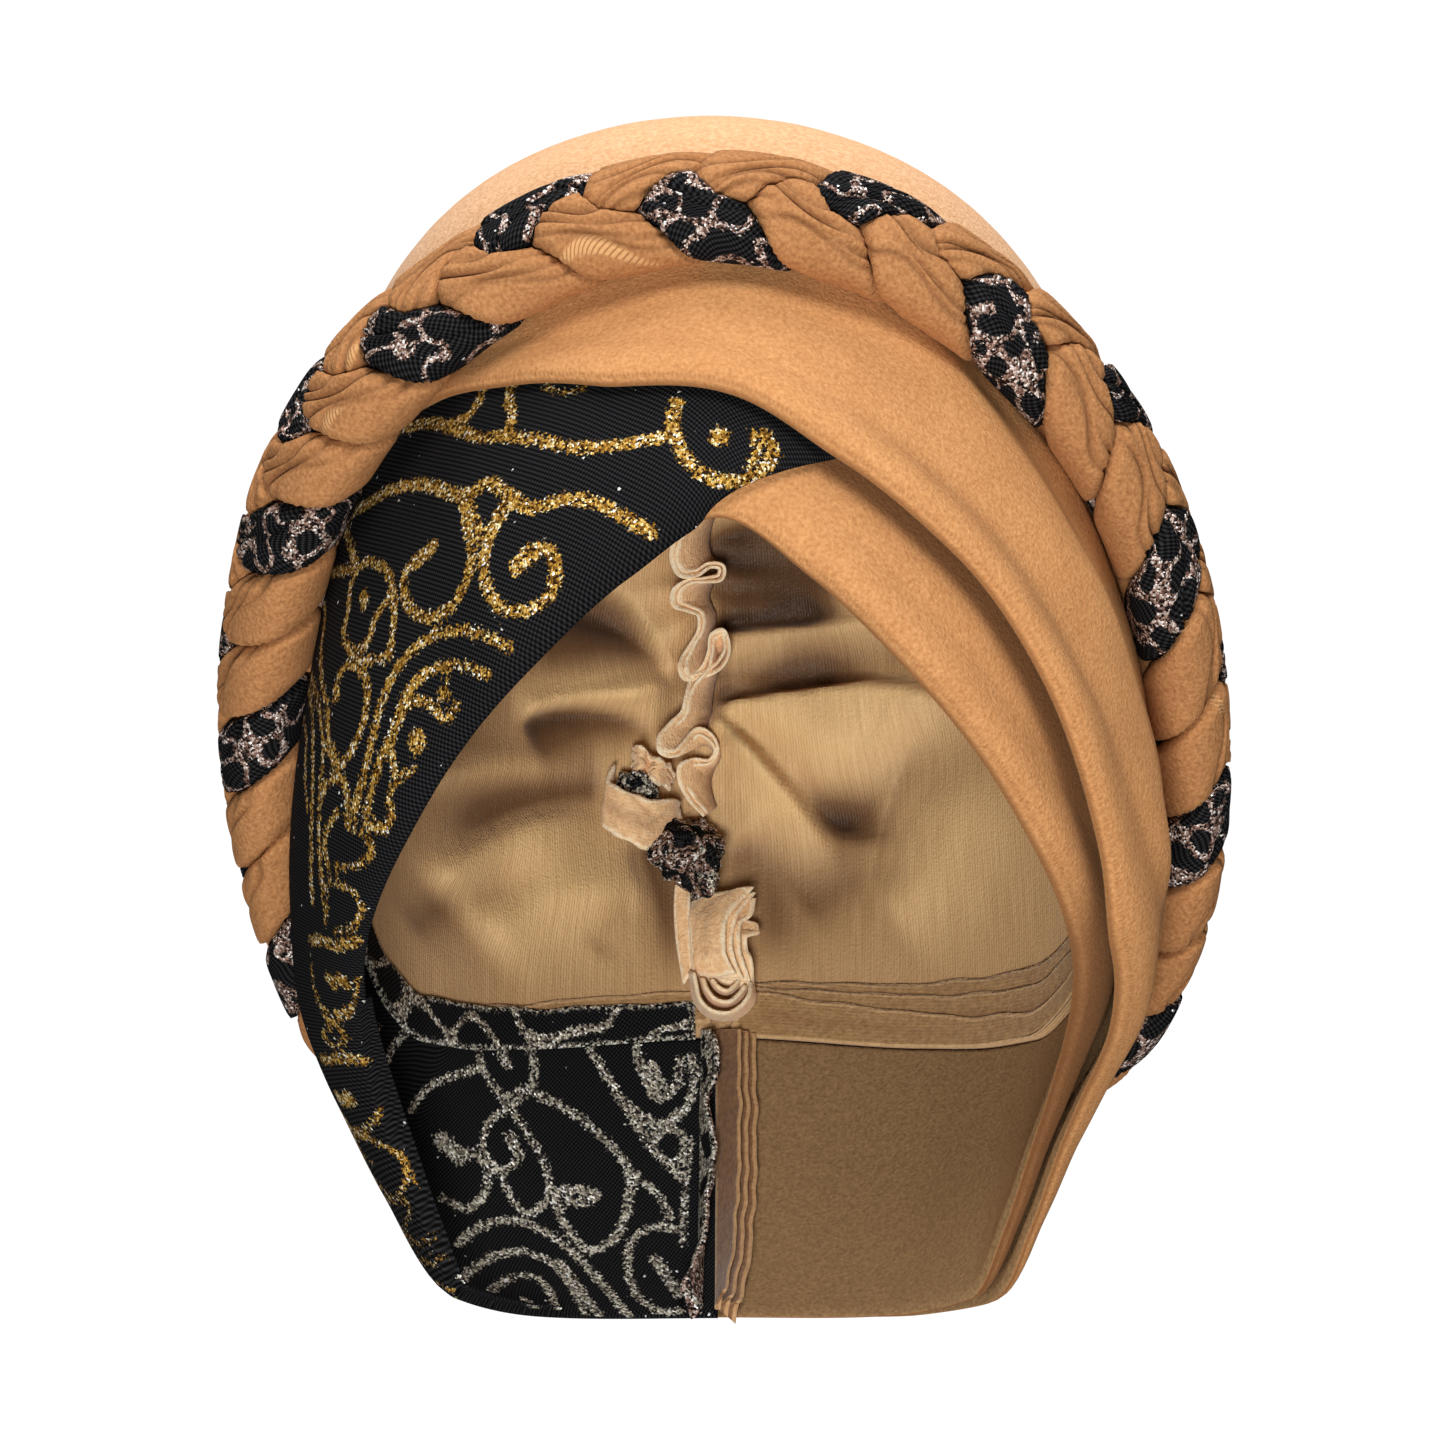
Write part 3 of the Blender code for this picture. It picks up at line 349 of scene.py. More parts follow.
# Rows of a strip: two points of each row in pixels, each with how deep it lies in from the inner face
TAN_TAB_ROWS = (
    (615, 764, 5, 601, 823, 5), (609, 778, 8, 604, 827, 8), (619, 787, 11, 614, 834, 10),
    (638, 795, 12, 631, 843, 11), (656, 800, 11, 648, 850, 10), (672, 798, 8, 669, 836, 7),
    (679, 803, 4, 683, 823, 4),
)
TAN_CRUMPLE_ROWS = (
    (634, 743, 4, 633, 766, 5), (641, 745, 8, 638, 775, 8), (650, 755, 6, 646, 778, 6),
    (658, 758, 9, 652, 781, 9), (668, 764, 7, 661, 785, 6), (676, 772, 4, 668, 790, 4),
)
BLACK_BIT_ROWS = (
    (620, 776, 5, 618, 790, 6), (633, 772, 8, 632, 797, 7), (645, 775, 9, 647, 801, 7),
    (655, 783, 7, 660, 800, 6),
)
LEFT_STRIP_ROWS = (
    (675, 884, 3, 690, 892, 3), (674, 905, 3, 691, 905, 4), (675, 930, 3, 691, 930, 4),
    (678, 955, 3, 692, 950, 4), (684, 985, 3, 693, 975, 4),
)
BLACK_BUNCH = (
    ((668, 828, 3, 712, 828, 3), (658, 838, 8, 720, 840, 8), (650, 850, 10, 720, 856, 11),
     (652, 864, 9, 718, 868, 10), (672, 876, 7, 716, 880, 7), (690, 888, 4, 712, 892, 4),
     (696, 900, 3, 710, 902, 3)),
    ((650, 846, 4, 676, 826, 4), (656, 858, 11, 690, 830, 11), (666, 864, 12, 702, 838, 13),
     (680, 868, 10, 712, 850, 12), (690, 872, 5, 718, 862, 5)),
    ((690, 830, 4, 720, 834, 4), (686, 844, 11, 718, 848, 11), (694, 860, 13, 716, 862, 12),
     (698, 878, 10, 714, 880, 9), (700, 896, 4, 710, 898, 4)),
)
THICK_TAB_LAYERS = (
    ((691, 902, 6, 755, 887, 9), (690, 918, 8, 732, 911, 12), (690, 934, 9, 727, 927, 13),
     (691, 950, 9, 725, 945, 13), (692, 966, 8, 730, 962, 12), (694, 972, 6, 737, 974, 10)),
    ((692, 906, 5, 756, 892, 7), (691, 920, 6, 744, 908, 10), (691, 936, 7, 735, 922, 11),
     (692, 950, 7, 733, 944, 11), (693, 966, 6, 738, 964, 10), (695, 974, 5, 744, 978, 8)),
    ((693, 910, 4, 757, 898, 5), (692, 922, 5, 752, 914, 7), (692, 936, 6, 742, 924, 9),
     (693, 950, 6, 741, 944, 9), (694, 966, 5, 745, 964, 8), (696, 976, 4, 751, 981, 6)),
    ((694, 912, 3, 757, 924, 4), (693, 924, 3, 760, 934, 5), (693, 938, 4, 749, 936, 7),
     (694, 952, 4, 748, 950, 7), (695, 968, 4, 754, 966, 6), (697, 978, 3, 754, 990, 4)),
)
CUFF_LAYERS = (
    ((690, 970, 5, 694, 972, 11), (691, 984, 5, 697, 986, 11), (695, 1002, 4, 701, 1000, 11),
     (709, 1017, 4, 713, 1010, 11), (726, 1020, 4, 727, 1012, 11), (744, 1014, 4, 740, 1005, 10),
     (755, 998, 4, 749, 992, 9), (753, 984, 3, 750, 982, 7)),
    ((700, 976, 5, 703, 978, 9), (704, 990, 5, 708, 990, 10), (713, 1003, 5, 717, 999, 10),
     (727, 1006, 5, 729, 1001, 10), (740, 999, 5, 738, 994, 9), (748, 986, 4, 745, 985, 8)),
    ((710, 978, 5, 712, 979, 8), (715, 988, 5, 718, 986, 9), (725, 994, 5, 727, 990, 9),
     (736, 988, 5, 735, 984, 8), (741, 979, 4, 740, 978, 7)),
)

# Folds of the crown's inside, charted in pixels of the photograph's frame: how far the line stands in, or out
# if negative, how wide the fold falls away on the left and right of the line's run, and the line's points
# Their heights also set the painted shade and highlight of the crown's inside.
CROWN_FOLDS = (
    (7.0, 1.3, 13.0, 706, 640, 735, 636, 765, 633, 805, 629, 845, 625, 900, 622),
    (-6.0, 4.0, 1.5, 712, 628, 740, 624, 770, 623, 810, 618, 850, 610),
    (-9.0, 22.0, 14.0, 716, 520, 735, 560, 770, 590, 820, 605, 880, 610),
    (-7.0, 7.0, 1.3, 708, 698, 740, 696, 785, 688, 835, 680, 890, 676),
    (8.0, 1.3, 20.0, 702, 712, 735, 706, 780, 700, 830, 694, 880, 688, 930, 694, 985, 730),
    (7.0, 2.0, 10.0, 700, 714, 735, 742, 765, 772, 795, 802, 818, 830, 850, 850),
    (-6.5, 14.0, 2.0, 716, 712, 758, 746, 785, 772, 806, 794, 826, 818, 862, 832, 920, 838),
    (-4.0, 7.0, 7.0, 815, 835, 850, 818, 880, 795, 905, 765, 935, 715),
    (-4.0, 8.0, 9.0, 742, 830, 768, 880, 775, 930, 765, 985), (-2.5, 8.0, 6.0, 800, 915, 850, 880, 920, 860),
    (3.0, 12.0, 14.0, 880, 925, 930, 880, 965, 810, 975, 740),
    (7.0, 22.0, 1.4, 590, 560, 608, 584, 634, 608, 655, 643, 684, 690),
    (-5.0, 1.5, 9.0, 535, 610, 580, 614, 612, 626, 640, 646, 670, 684),
    (-5.0, 10.0, 10.0, 460, 650, 520, 655, 580, 662, 640, 676),
    (5.0, 6.0, 2.0, 510, 718, 550, 704, 585, 700, 625, 698, 660, 686, 690, 660),
    (-7.0, 1.6, 7.0, 518, 728, 555, 716, 600, 716, 634, 726, 660, 756),
    (-4.0, 6.0, 8.0, 420, 745, 480, 745, 540, 750, 610, 752),
    (4.0, 6.0, 4.0, 420, 778, 480, 768, 540, 768, 605, 777),
    (-6.0, 4.0, 8.0, 612, 786, 560, 792, 520, 802, 480, 824, 435, 868),
    (4.0, 4.0, 10.0, 430, 895, 470, 852, 510, 832, 550, 820, 605, 812),
    (6.0, 12.0, 14.0, 480, 955, 540, 905, 585, 898, 640, 900, 680, 890),
    (-3.0, 4.0, 5.0, 595, 955, 618, 918, 646, 892), (-4.0, 6.0, 6.0, 410, 935, 450, 905, 490, 890, 540, 850),
    (-5.0, 5.0, 4.0, 648, 830, 664, 900, 672, 950, 678, 1000),
)
# How deep a fold that stands out may be, as a share of its charted depth
FOLD_OUT_SHARE = 0.45


def unit(vectors):
    """The same directions with a length of 1."""
    return vectors / np.linalg.norm(vectors, axis=-1, keepdims=True)


def run_lengths(points):
    """How far along a line each of its points lies."""
    return np.concatenate(((0.0,), np.cumsum(np.linalg.norm(np.diff(points, axis=0), axis=1))))


def hermite(xs, ys, slopes, x):
    """The curve through points with given slopes, at x."""
    i = np.clip(np.searchsorted(xs, x, side="right") - 1, 0, len(xs) - 2)
    step = xs[i + 1] - xs[i]
    s = (x - xs[i]) / step
    if ys.ndim > 1:
        s, step = s[:, None], step[:, None]
    return ((2 * s ** 3 - 3 * s ** 2 + 1) * ys[i] + (s ** 3 - 2 * s ** 2 + s) * step * slopes[i]
            + (3 * s ** 2 - 2 * s ** 3) * ys[i + 1] + (s ** 3 - s ** 2) * step * slopes[i + 1])


def smooth(xs, ys, x):
    """A curve through a table's points that never overshoots them."""
    steps = np.diff(xs)
    rises = np.diff(ys) / steps
    slopes = np.zeros_like(ys)
    for i in range(1, len(xs) - 1):
        if rises[i - 1] * rises[i] > 0:
            before = 2 * steps[i] + steps[i - 1]
            after = steps[i] + 2 * steps[i - 1]
            slopes[i] = (before + after) / (before / rises[i - 1] + after / rises[i])
    return hermite(xs, ys, slopes, np.clip(x, xs[0], xs[-1]))


def read(rows, column, azimuth):
    """A table's column at an azimuth."""
    return smooth(rows["azimuth"], rows[column], azimuth)


def drawn(rows, count=None):
    """A smooth curve through charted rows, at even steps along the line of their first two columns."""
    rows = np.array(rows, float)
    runs = run_lengths(rows[:, :2])
    if count is None:
        count = max(2, int(runs[-1] / STROKE_STEP)) + 1
    return hermite(runs, rows, np.gradient(rows, runs, axis=0), np.linspace(0, runs[-1], count))


def ease(x):
    """A smooth step from 0 to 1."""
    x = np.clip(x, 0.0, 1.0)
    return x * x * (3 - 2 * x)


def wander(x, pace, seed):
    """A smooth irregular value between about -1 and 1."""
    turns = (1.0, 1.618, 2.414)
    return sum(np.sin(FULL_TURN * x * turn / pace + seed * (k + 1.7)) for k, turn in enumerate(turns)) / 2.2


def outward(azimuth):
    """The level direction straight out from the head."""
    angle = np.radians(azimuth)
    return np.stack((np.sin(angle), -np.cos(angle), np.zeros_like(angle)), -1)


def ring(azimuth, half_width, front, back, heights):
    """A ring that is an ellipse seen from above."""
    angle = np.radians(azimuth)
    middle, reach = (back + front) / 2, (back - front) / 2
    return np.stack((half_width * np.sin(angle), middle - reach * np.cos(angle),
                     read(HEIGHTS, heights, np.abs(azimuth))), -1)


def seam_ring(azimuth):
    level = ring(azimuth, SEAM_HALF_WIDTH, SEAM_FRONT, SEAM_BACK, "seam")
    return level + outward(azimuth) * np.asarray(read(SIDES, "seam_out", azimuth))[..., None]


def rim_ring(azimuth):
    return ring(azimuth, RIM_HALF_WIDTH, RIM_FRONT, RIM_BACK, "rim")


def band_height(azimuth):
    return np.linalg.norm(seam_ring(azimuth) - rim_ring(azimuth), axis=-1)


def band_surface(azimuth, share):
    """The innermost surface of the band, from the rim at share 0 to the seam at share 1."""
    azimuth, share = np.broadcast_arrays(np.asarray(azimuth, float), np.asarray(share, float))
    swell = read(SIDES, "swell", azimuth) * np.sin(math.pi * np.clip(share, 0, 1) ** SWELL_LEAN)
    straight = rim_ring(azimuth) * (1 - share)[..., None] + seam_ring(azimuth) * share[..., None]
    return straight + outward(azimuth) * swell[..., None]


def crown_surface(azimuth, share):
    """The inner surface of the smooth crown, from the seam at share 0 to the top at share 1."""
    azimuth, share = np.broadcast_arrays(np.asarray(azimuth, float), np.asarray(share, float))
    foot = seam_ring(azimuth)
    level = np.cos(share * math.pi / 2) ** (2 / CROWN_FULLNESS)
    rise = np.sin(share * math.pi / 2) ** (2 / CROWN_FULLNESS)
    point = HEAD_TOP + (foot - HEAD_TOP) * np.stack((level, level, 1 - rise), -1)
    puff = CROWN_BACK_PUFF * (1 - np.cos(np.radians(azimuth))) / 2 * np.sin(math.pi * share)
    return point + outward(azimuth) * puff[..., None]


def normals(surface, azimuth, share):
    """Outward unit normals of a surface that is given as a function of azimuth and share."""
    turn, climb = 0.5, 0.01
    low, high = np.clip(share - climb, 0, 1), np.clip(share + climb, 0, 1)
    across = surface(azimuth + turn, share) - surface(azimuth - turn, share)
    along = surface(azimuth, high) - surface(azimuth, low)
    normal = unit(np.cross(across, along))
    facing = np.sum(normal * (outward(azimuth) + np.array((0, 0, 0.5))), axis=-1, keepdims=True)
    return normal * np.where(facing < 0, -1.0, 1.0)


def above_seam_foot(azimuth, share):
    """Points of the crown, and how far up each lies from the foot of its gathered seam."""
    foot, point = crown_surface(180.0, 0.0), crown_surface(azimuth, share)
    return point, np.linalg.norm(point[..., 1:] - foot[1:], axis=-1)


def crease_depth(azimuth, share):
    """How far the crown is pushed in by the folds that start at its gathered seam."""
    point, up = above_seam_foot(azimuth, share)
    across = point[..., 0]
    depth = np.zeros_like(across)
    for start, end, amount, width in CREASES:
        run = np.subtract(end, start)
        length = np.linalg.norm(run)
        along = ((across - start[0]) * run[0] + (up - start[1]) * run[1]) / length ** 2
        aside = ((across - start[0]) * run[1] - (up - start[1]) * run[0]) / length
        start_fade = ease((along + CREASE_LEAD_IN) / (2 * CREASE_LEAD_IN))
        fade = start_fade * (1 - ease((along - CREASE_FADE_FROM) / CREASE_FADE_RUN))
        depth += amount * fade * np.exp(-(aside / width) ** 2)
    behind = ease((point[..., 1] - HEAD_TOP[1]) / CREASE_SIDE_FADE)
    beside = ease((np.abs(across - RUFFLE_ACROSS) - CREASE_SEAM_START) / CREASE_SEAM_FADE)
    return depth * behind * beside * ease(share / CREASE_FOOT_SHARE)


def gathers(azimuth, share):
    """Fine pleats that run out from the gathered seam at the centre back."""
    point, up = above_seam_foot(azimuth, share)
    across = np.abs(point[..., 0] - RUFFLE_ACROSS)
    left = point[..., 0] < RUFFLE_ACROSS
    slant = np.where(left, GATHER_SLANT_LEFT, GATHER_SLANT_RIGHT)
    phase = up + slant * across + np.where(left, GATHER_SHIFT_LEFT, 0.0)
    waves = np.cos(FULL_TURN * phase / GATHER_PITCH + 1.1 * wander(up, 45, 2))
    near = ease((across - GATHER_SEAM_START) / GATHER_SEAM_FADE) * np.exp(-(across / GATHER_REACH) ** 2)
    tall = ease((up - GATHER_FOOT) / GATHER_FADE) * ease((GATHER_TOP - up) / GATHER_FADE)
    return GATHER_DEPTH * waves * near * tall * (point[..., 1] > HEAD_TOP[1])


def ridge_reach(azimuth):
    """How strong the upper wrap's ridge is round the cap."""
    return ease((azimuth - RIDGE_STARTS) / RIDGE_GROWS) * ease((RIDGE_ENDS - azimuth) / RIDGE_SINKS)


def ridge_lift(azimuth, share, height):
    """The lift of the upper wrap along its falling ridge."""
    aside = (share - smooth(RIDGE["azimuth"], RIDGE["share"], azimuth)) * height
    width = np.where(aside > 0, RIDGE_WIDTH_ABOVE, RIDGE_WIDTH_BELOW)
    reach = ridge_reach(azimuth) * ease((BAND_TOP - share) / RIDGE_SEAM_FADE)
    return RIDGE_LIFT * reach * np.exp(-(aside / width) ** 2)


def braid_frames(azimuth):
    """Centre, sideways and outward directions of the braid at each azimuth."""
    step = 0.5
    out = outward(azimuth)
    centre = seam_ring(azimuth) + out * read(BRAID_OUT, "out", azimuth)[:, None] + np.array((0, 0, BRAID_UP))
    along = unit(seam_ring(azimuth + step) - seam_ring(azimuth - step))
    out[:, 2] += BRAID_TILT_FRONT * (1 + np.cos(np.radians(azimuth))) / 2
    out = unit(out - along * np.sum(out * along, axis=1, keepdims=True))
    return centre, np.cross(out, along), out


class PhotoView:
    """The camera, and what the pixels of the photograph's frame fall on."""

    def __init__(self):
        """The camera stands at the photograph's viewing angle."""
        data = bpy.data.cameras.new("camera")
        data.lens, data.sensor_width = CAMERA_LENS, CAMERA_SENSOR
        self.camera = bpy.data.objects.new("camera", data)
        bpy.context.scene.collection.objects.link(self.camera)
        tilt = math.radians(CAMERA_ELEVATION)
        away = Vector((0, -math.cos(tilt), math.sin(tilt)))
        self.camera.location = CAMERA_TARGET + away * CAMERA_DISTANCE
        self.camera.rotation_euler = (-away).to_track_quat("-Z", "Y").to_euler()
        bpy.context.scene.camera = self.camera
        bpy.context.view_layer.update()
        self.turn = self.camera.matrix_world.to_3x3()
        self.depth_trees = {}

    def ray(self, pixel):
        """The ray from the camera through a pixel, in millimetres."""
        reach, middle = CAMERA_SENSOR / CAMERA_LENS / PHOTO_SIDE, PHOTO_SIDE / 2
        way = self.turn @ Vector(((pixel[0] - middle) * reach, (middle - pixel[1]) * reach, -1.0))
        return Vector(np.array(self.camera.location) / MILLIMETRE + HEAD_TOP), way.normalized()

    def pixels(self, points):
        """Where points fall in the photograph's frame."""
        placed = (points - HEAD_TOP) * MILLIMETRE - np.array(self.camera.location)
        local = placed @ np.array(self.turn)
        reach = PHOTO_SIDE * CAMERA_LENS / CAMERA_SENSOR
        return PHOTO_SIDE / 2 + reach * np.stack((-local[..., 0], local[..., 1]), -1) / local[..., 2:]

    def laid_on(self, face, lines):
        """Where charted lines fall on a face of the cloth."""
        tree = grid_tree(face)
        laid = []
        for half_width, line in lines:
            found = [tree.ray_cast(*self.ray(pixel))[0] for pixel in line]
            laid.append((half_width, np.array([tuple(point) for point in found if point is not None])))
        return [(half_width, line) for half_width, line in laid if len(line)]

    def level(self, depth):
        """The surface at a whole depth in from the inner face near the centre back, made only once."""
        if depth not in self.depth_trees:
            across, up = np.meshgrid(BACK_ACROSS, BACK_UP, indexing="ij")
            self.depth_trees[depth] = grid_tree(back_places(across, up, np.full(across.shape, float(depth))))
        return self.depth_trees[depth]

    def placed(self, pixels, depths):
        """Points seen at pixels, at depths in from the inner face."""
        points = []
        for pixel, depth in zip(pixels, depths):
            low = math.floor(depth)
            ray = self.ray(pixel)
            near, far = (np.array(self.level(whole).ray_cast(*ray)[0]) for whole in (low, low + 1))
            points.append(near + (far - near) * (depth - low))
        return np.array(points)


def grid_faces(index, wrapped=False):
    """Quads of a grid of point numbers, closed round its second direction if asked."""
    if wrapped:
        index = np.concatenate((index, index[:, :1]), 1)
    return np.stack((index[:-1, :-1], index[1:, :-1], index[1:, 1:], index[:-1, 1:]), -1).reshape(-1, 4)


def grid_tree(grid):
    """A grid of points as a surface that a ray can be cast on."""
    index = np.arange(grid[..., 0].size).reshape(grid.shape[:2])
    return BVHTree.FromPolygons(grid.reshape(-1, 3).tolist(), grid_faces(index).tolist())


def closed_sheet(inner, outer):
    """Points and faces of a sheet with a real thickness, from grids of its two faces."""
    columns, rows = inner.shape[:2]
    index = np.arange(columns * rows).reshape(columns, rows)
    border = np.concatenate((index[:, 0], index[-1, 1:], index[-2::-1, -1], index[0, -2:0:-1]))
    after = np.roll(border, -1)
    rim = np.stack((border, after, after + columns * rows, border + columns * rows), 1)
    faces = np.concatenate((grid_faces(index)[:, ::-1], grid_faces(index) + columns * rows, rim))
    return np.concatenate((inner.reshape(-1, 3), outer.reshape(-1, 3))), faces


def face_out(points, faces):
    """The same faces, turned so that the closed shape's faces look outwards."""
    volume = 0.0
    for group in faces:
        a = points[group[:, 0]]
        for k in range(1, group.shape[1] - 1):
            volume += np.sum(a * np.cross(points[group[:, k]], points[group[:, k + 1]]))
    return faces if volume > 0 else [group[:, ::-1] for group in faces]


def make_piece(name, points, faces, finish, slot, **values):
    """Make one object from points in millimetres, ride it on the body, and let it stand for its name's node."""
    placed = (points - HEAD_TOP) * MILLIMETRE
    turned = [face for group in face_out(placed, faces) for face in group.tolist()]
    mesh = bpy.data.meshes.new(name)
    mesh.from_pydata(placed.tolist(), [], turned)
    mesh.shade_smooth()
    for label, array in values.items():
        kind, field = ("FLOAT", "value") if array.ndim == 1 else ("FLOAT_VECTOR", "vector")
        mesh.attributes.new(label, kind, "POINT").data.foreach_set(field, array.astype(np.float32).ravel())
    mesh.materials.append(finish)
    piece = bpy.data.objects.new(name + "_cloth", mesh)
    bpy.context.scene.collection.objects.link(piece)
    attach(piece, BODY)
    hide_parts(name)
    return piece


def both_faces(values):
    """The same values for the two faces of a sheet."""
    flat = values.reshape(-1, values.shape[-1])
    return np.concatenate((flat, flat))


def face_sides(count):
    """0 for each point of a sheet's inner face and 1 for each of its outer one."""
    return np.repeat((0.0, 1.0), count)


def along_segment(points, start, end):
    """How far along a segment the nearest place to each point is, from 0 to 1, and how far away it is."""
    run = end - start
    along = np.clip((points - start) @ run / max(run @ run, 1e-9), 0, 1)
    return along, np.linalg.norm(points - start - along[..., None] * run, axis=-1)


def columns_between(layer):
    """A layer's azimuths, close together."""
    start, end = layer["azimuth"][0], layer["azimuth"][-1]
    return np.linspace(start, end, int((end - start) * COLUMN_WIDTH / SHEET_SPACING))


def edge_runs(tall):
    """Distances up from a folded edge, close together where the cloth turns over."""
    near = np.array(FOLD_RUNS)[None, :] * np.minimum(1.0, tall / ROLL_ROOM)[:, None]
    rest = np.linspace(0, 1, max(4, int(tall.max() / SHEET_SPACING)))[None, 1:]
    return np.concatenate((near, near[:, -1:] + (tall[:, None] - near[:, -1:]) * rest), 1)


def band_faces(layer, azimuths, folds, ridged=False):
    """Both faces of a band layer, and the cloth's own distances: along, up from the rim, up from the edge."""
    lower, upper, low, high, roll = (read(layer, column, azimuths)[:, None] for column in LAYER.split()[1:])
    height = band_height(azimuths)[:, None]
    tall = (upper - lower) * height
    run = edge_runs(tall[:, 0])
    share = lower + run / height
    column = np.repeat(azimuths[:, None], run.shape[1], 1)
    fit = np.minimum(1.0, tall / ROLL_ROOM)
    blend = ease((share - BLEND_START) / (BAND_TOP - BLEND_START))
    base = low + (high - low) * blend
    wall = WALL_LOW + (WALL_HIGH - WALL_LOW) * blend
    if ridged:
        base = base + ridge_lift(column, share, height)
    roll_in = smooth(ROLL["run"], ROLL["inner"], run / fit) * (roll * fit)
    roll_out = smooth(ROLL["run"], ROLL["outer"], run / fit) * (roll * fit)
    turn = np.clip(run / (FOLD_RADIUS * fit), 0, 1)
    half = (wall / 2 + (roll_out - roll_in) / 2) * np.sqrt(1 - (1 - turn) ** 2)
    middle = base + wall / 2 + (roll_in + roll_out) / 2 + folds(column, share, run)
    surface, normal = band_surface(column, share), normals(band_surface, column, share)
    cloth = np.stack((column * COLUMN_WIDTH, share * height, run), -1)
    return surface + normal * (middle - half)[..., None], surface + normal * (middle + half)[..., None], cloth


def no_folds(azimuth, share, run):
    return np.zeros_like(share)


def upper_folds(azimuth, share, run):
    """Soft lengthwise folds of the outer layer, which only ever stand out."""
    settle = ease(run / WRAP_FOLD_RUN) * ease((BAND_TOP - share) / WRAP_FOLD_SEAM_FADE)
    phase = FULL_TURN * (share * WRAP_FOLD_TURNS - azimuth / WRAP_FOLD_SLANT) + 0.6 * wander(azimuth, 70, 1)
    slack = 0.5 + 0.5 * np.sin(phase)
    strength = WRAP_FOLD_FRONT + (1 - WRAP_FOLD_FRONT) * ease((azimuth - WRAP_SIDE_FROM) / WRAP_SIDE_GROWS)
    tuck = np.exp(-((BAND_TOP - share - TUCK_BELOW) / TUCK_WIDTH) ** 2)
    tuck = tuck * ease((azimuth - TUCK_STARTS) / TUCK_GROWS)
    return settle * slack ** 2 * strength + TUCK_LIFT * tuck


def under_creases(azimuth, up, run):
    """Painted shade along the line where the outer layer's folded edge presses on the inner layer."""
    below = read(UPPER_WRAP, "lower", azimuth) * band_height(azimuth) - up
    return CREASE_SHADE * np.exp(-(np.clip(below, 0, None) / EDGE_SHADE_WIDTH) ** 1.2)


def upper_creases(azimuth, up, run):
    """Painted shade in the hollows beside the outer layer's rolled edge and above its ridge."""
    ridge_up = smooth(RIDGE["azimuth"], RIDGE["share"], azimuth) * band_height(azimuth)
    above_ridge = np.exp(-((up - ridge_up - RIDGE_SHADE_UP) / RIDGE_SHADE_WIDTH) ** 2)
    beside_roll = ROLL_SHADE_PART * np.exp(-((run - ROLL_SHADE_RUN) / ROLL_SHADE_WIDTH) ** 2)
    return CREASE_SHADE / 2 * ridge_reach(azimuth) * (above_ridge + beside_roll)


def wrap(name, layer, finish, folds, creases, ridged=False):
    """A tan layer of the band, with how strongly painted shade darkens each point of its outer face."""
    inner, outer, cloth = band_faces(layer, columns_between(layer), folds, ridged)
    points, faces = closed_sheet(inner, outer)
    creased = creases(cloth[..., 0] / COLUMN_WIDTH, cloth[..., 1], cloth[..., 2]).ravel()
    make_piece(name, points, [faces], finish, "tan_brushed_cloth", cloth=both_faces(cloth),
               outside=face_sides(len(points) // 2), crease=np.concatenate((0 * creased, creased)))


def lurex_band(finish, view):
    """The black layer of the band, with each point's distance from the ornament."""
    azimuths = columns_between(LUREX_BAND)
    inner, outer, cloth = band_faces(LUREX_BAND, azimuths, no_folds)
    points, faces = closed_sheet(inner, outer)
    make_piece("lurex_band", points, [faces], finish, "black_lurex_cloth", cloth=both_faces(cloth),
               outside=face_sides(len(points) // 2), scroll=lurex_scroll(inner, outer, azimuths, view))


def motif_lines(kind):
    """A generic scroll motif, in millimetres across and up from its middle."""
    turn = np.radians(np.arange(0, 361, 15))
    half = turn[:13]
    if kind == "ring":
        circle = np.stack((np.sin(turn), np.cos(turn)), 1) * RING_RADIUS
        tail = np.stack((RING_RADIUS * np.cos(half + 0.4) + 2 * RING_RADIUS, RING_RADIUS * np.sin(half)), 1)
        return [(1.8, circle), (1.7, tail), (2.3, np.zeros((1, 2)))]
    if kind == "spiral":
        wound = np.radians(np.arange(0, 640, 15))
        reach = (1.5 + wound * 0.95)[:, None]
        return [(1.8, np.stack((np.cos(wound), np.sin(wound)), 1) * reach)]
    return [(1.7, np.stack((np.cos(half), np.sin(half)), 1) * reach) for reach in (4.5, 9.0, 13.5)]


def hidden_lines():
    """The motifs where the photograph doesn't show the cloth, laid on the band."""
    lines = []
    for kind, azimuth, share in HIDDEN_MOTIFS:
        for half_width, line in motif_lines(kind):
            across = azimuth + line[:, 0] / COLUMN_WIDTH
            up = np.clip(share + line[:, 1] / band_height(azimuth), 0.0, BAND_TOP)
            lines.append((half_width, band_surface(across, up) + outward(across) * WALL_LOW))
    return lines


def stroke_distance(face, lines):
    """The distance of each point of a face from the nearest charted line, less the line's half-width."""
    points = face.reshape(-1, 3)
    nearest = np.full(len(points), SCROLL_FAR)
    for half_width, line in lines:
        if len(line) == 1:
            line = np.repeat(line, 2, 0)
        low, high = line.min(0) - SCROLL_FAR, line.max(0) + SCROLL_FAR
        inside = np.flatnonzero(np.all((points > low) & (points < high), axis=1))
        close = np.full(len(inside), np.inf)
        for start, end in zip(line[:-1], line[1:]):
            close = np.minimum(close, along_segment(points[inside], start, end)[1])
        nearest[inside] = np.minimum(nearest[inside], close - half_width)
    return nearest.reshape(face.shape[:2])


def charted(lines, dots):
    """Charted lines and dots as runs of pixels."""
    runs = [(line[0], drawn(pairs(line[1:]))) for line in lines]
    return runs + [(dot[0], np.array((dot[1:],), float)) for dot in dots]


def pairs(numbers):
    return np.reshape(numbers, (-1, 2))


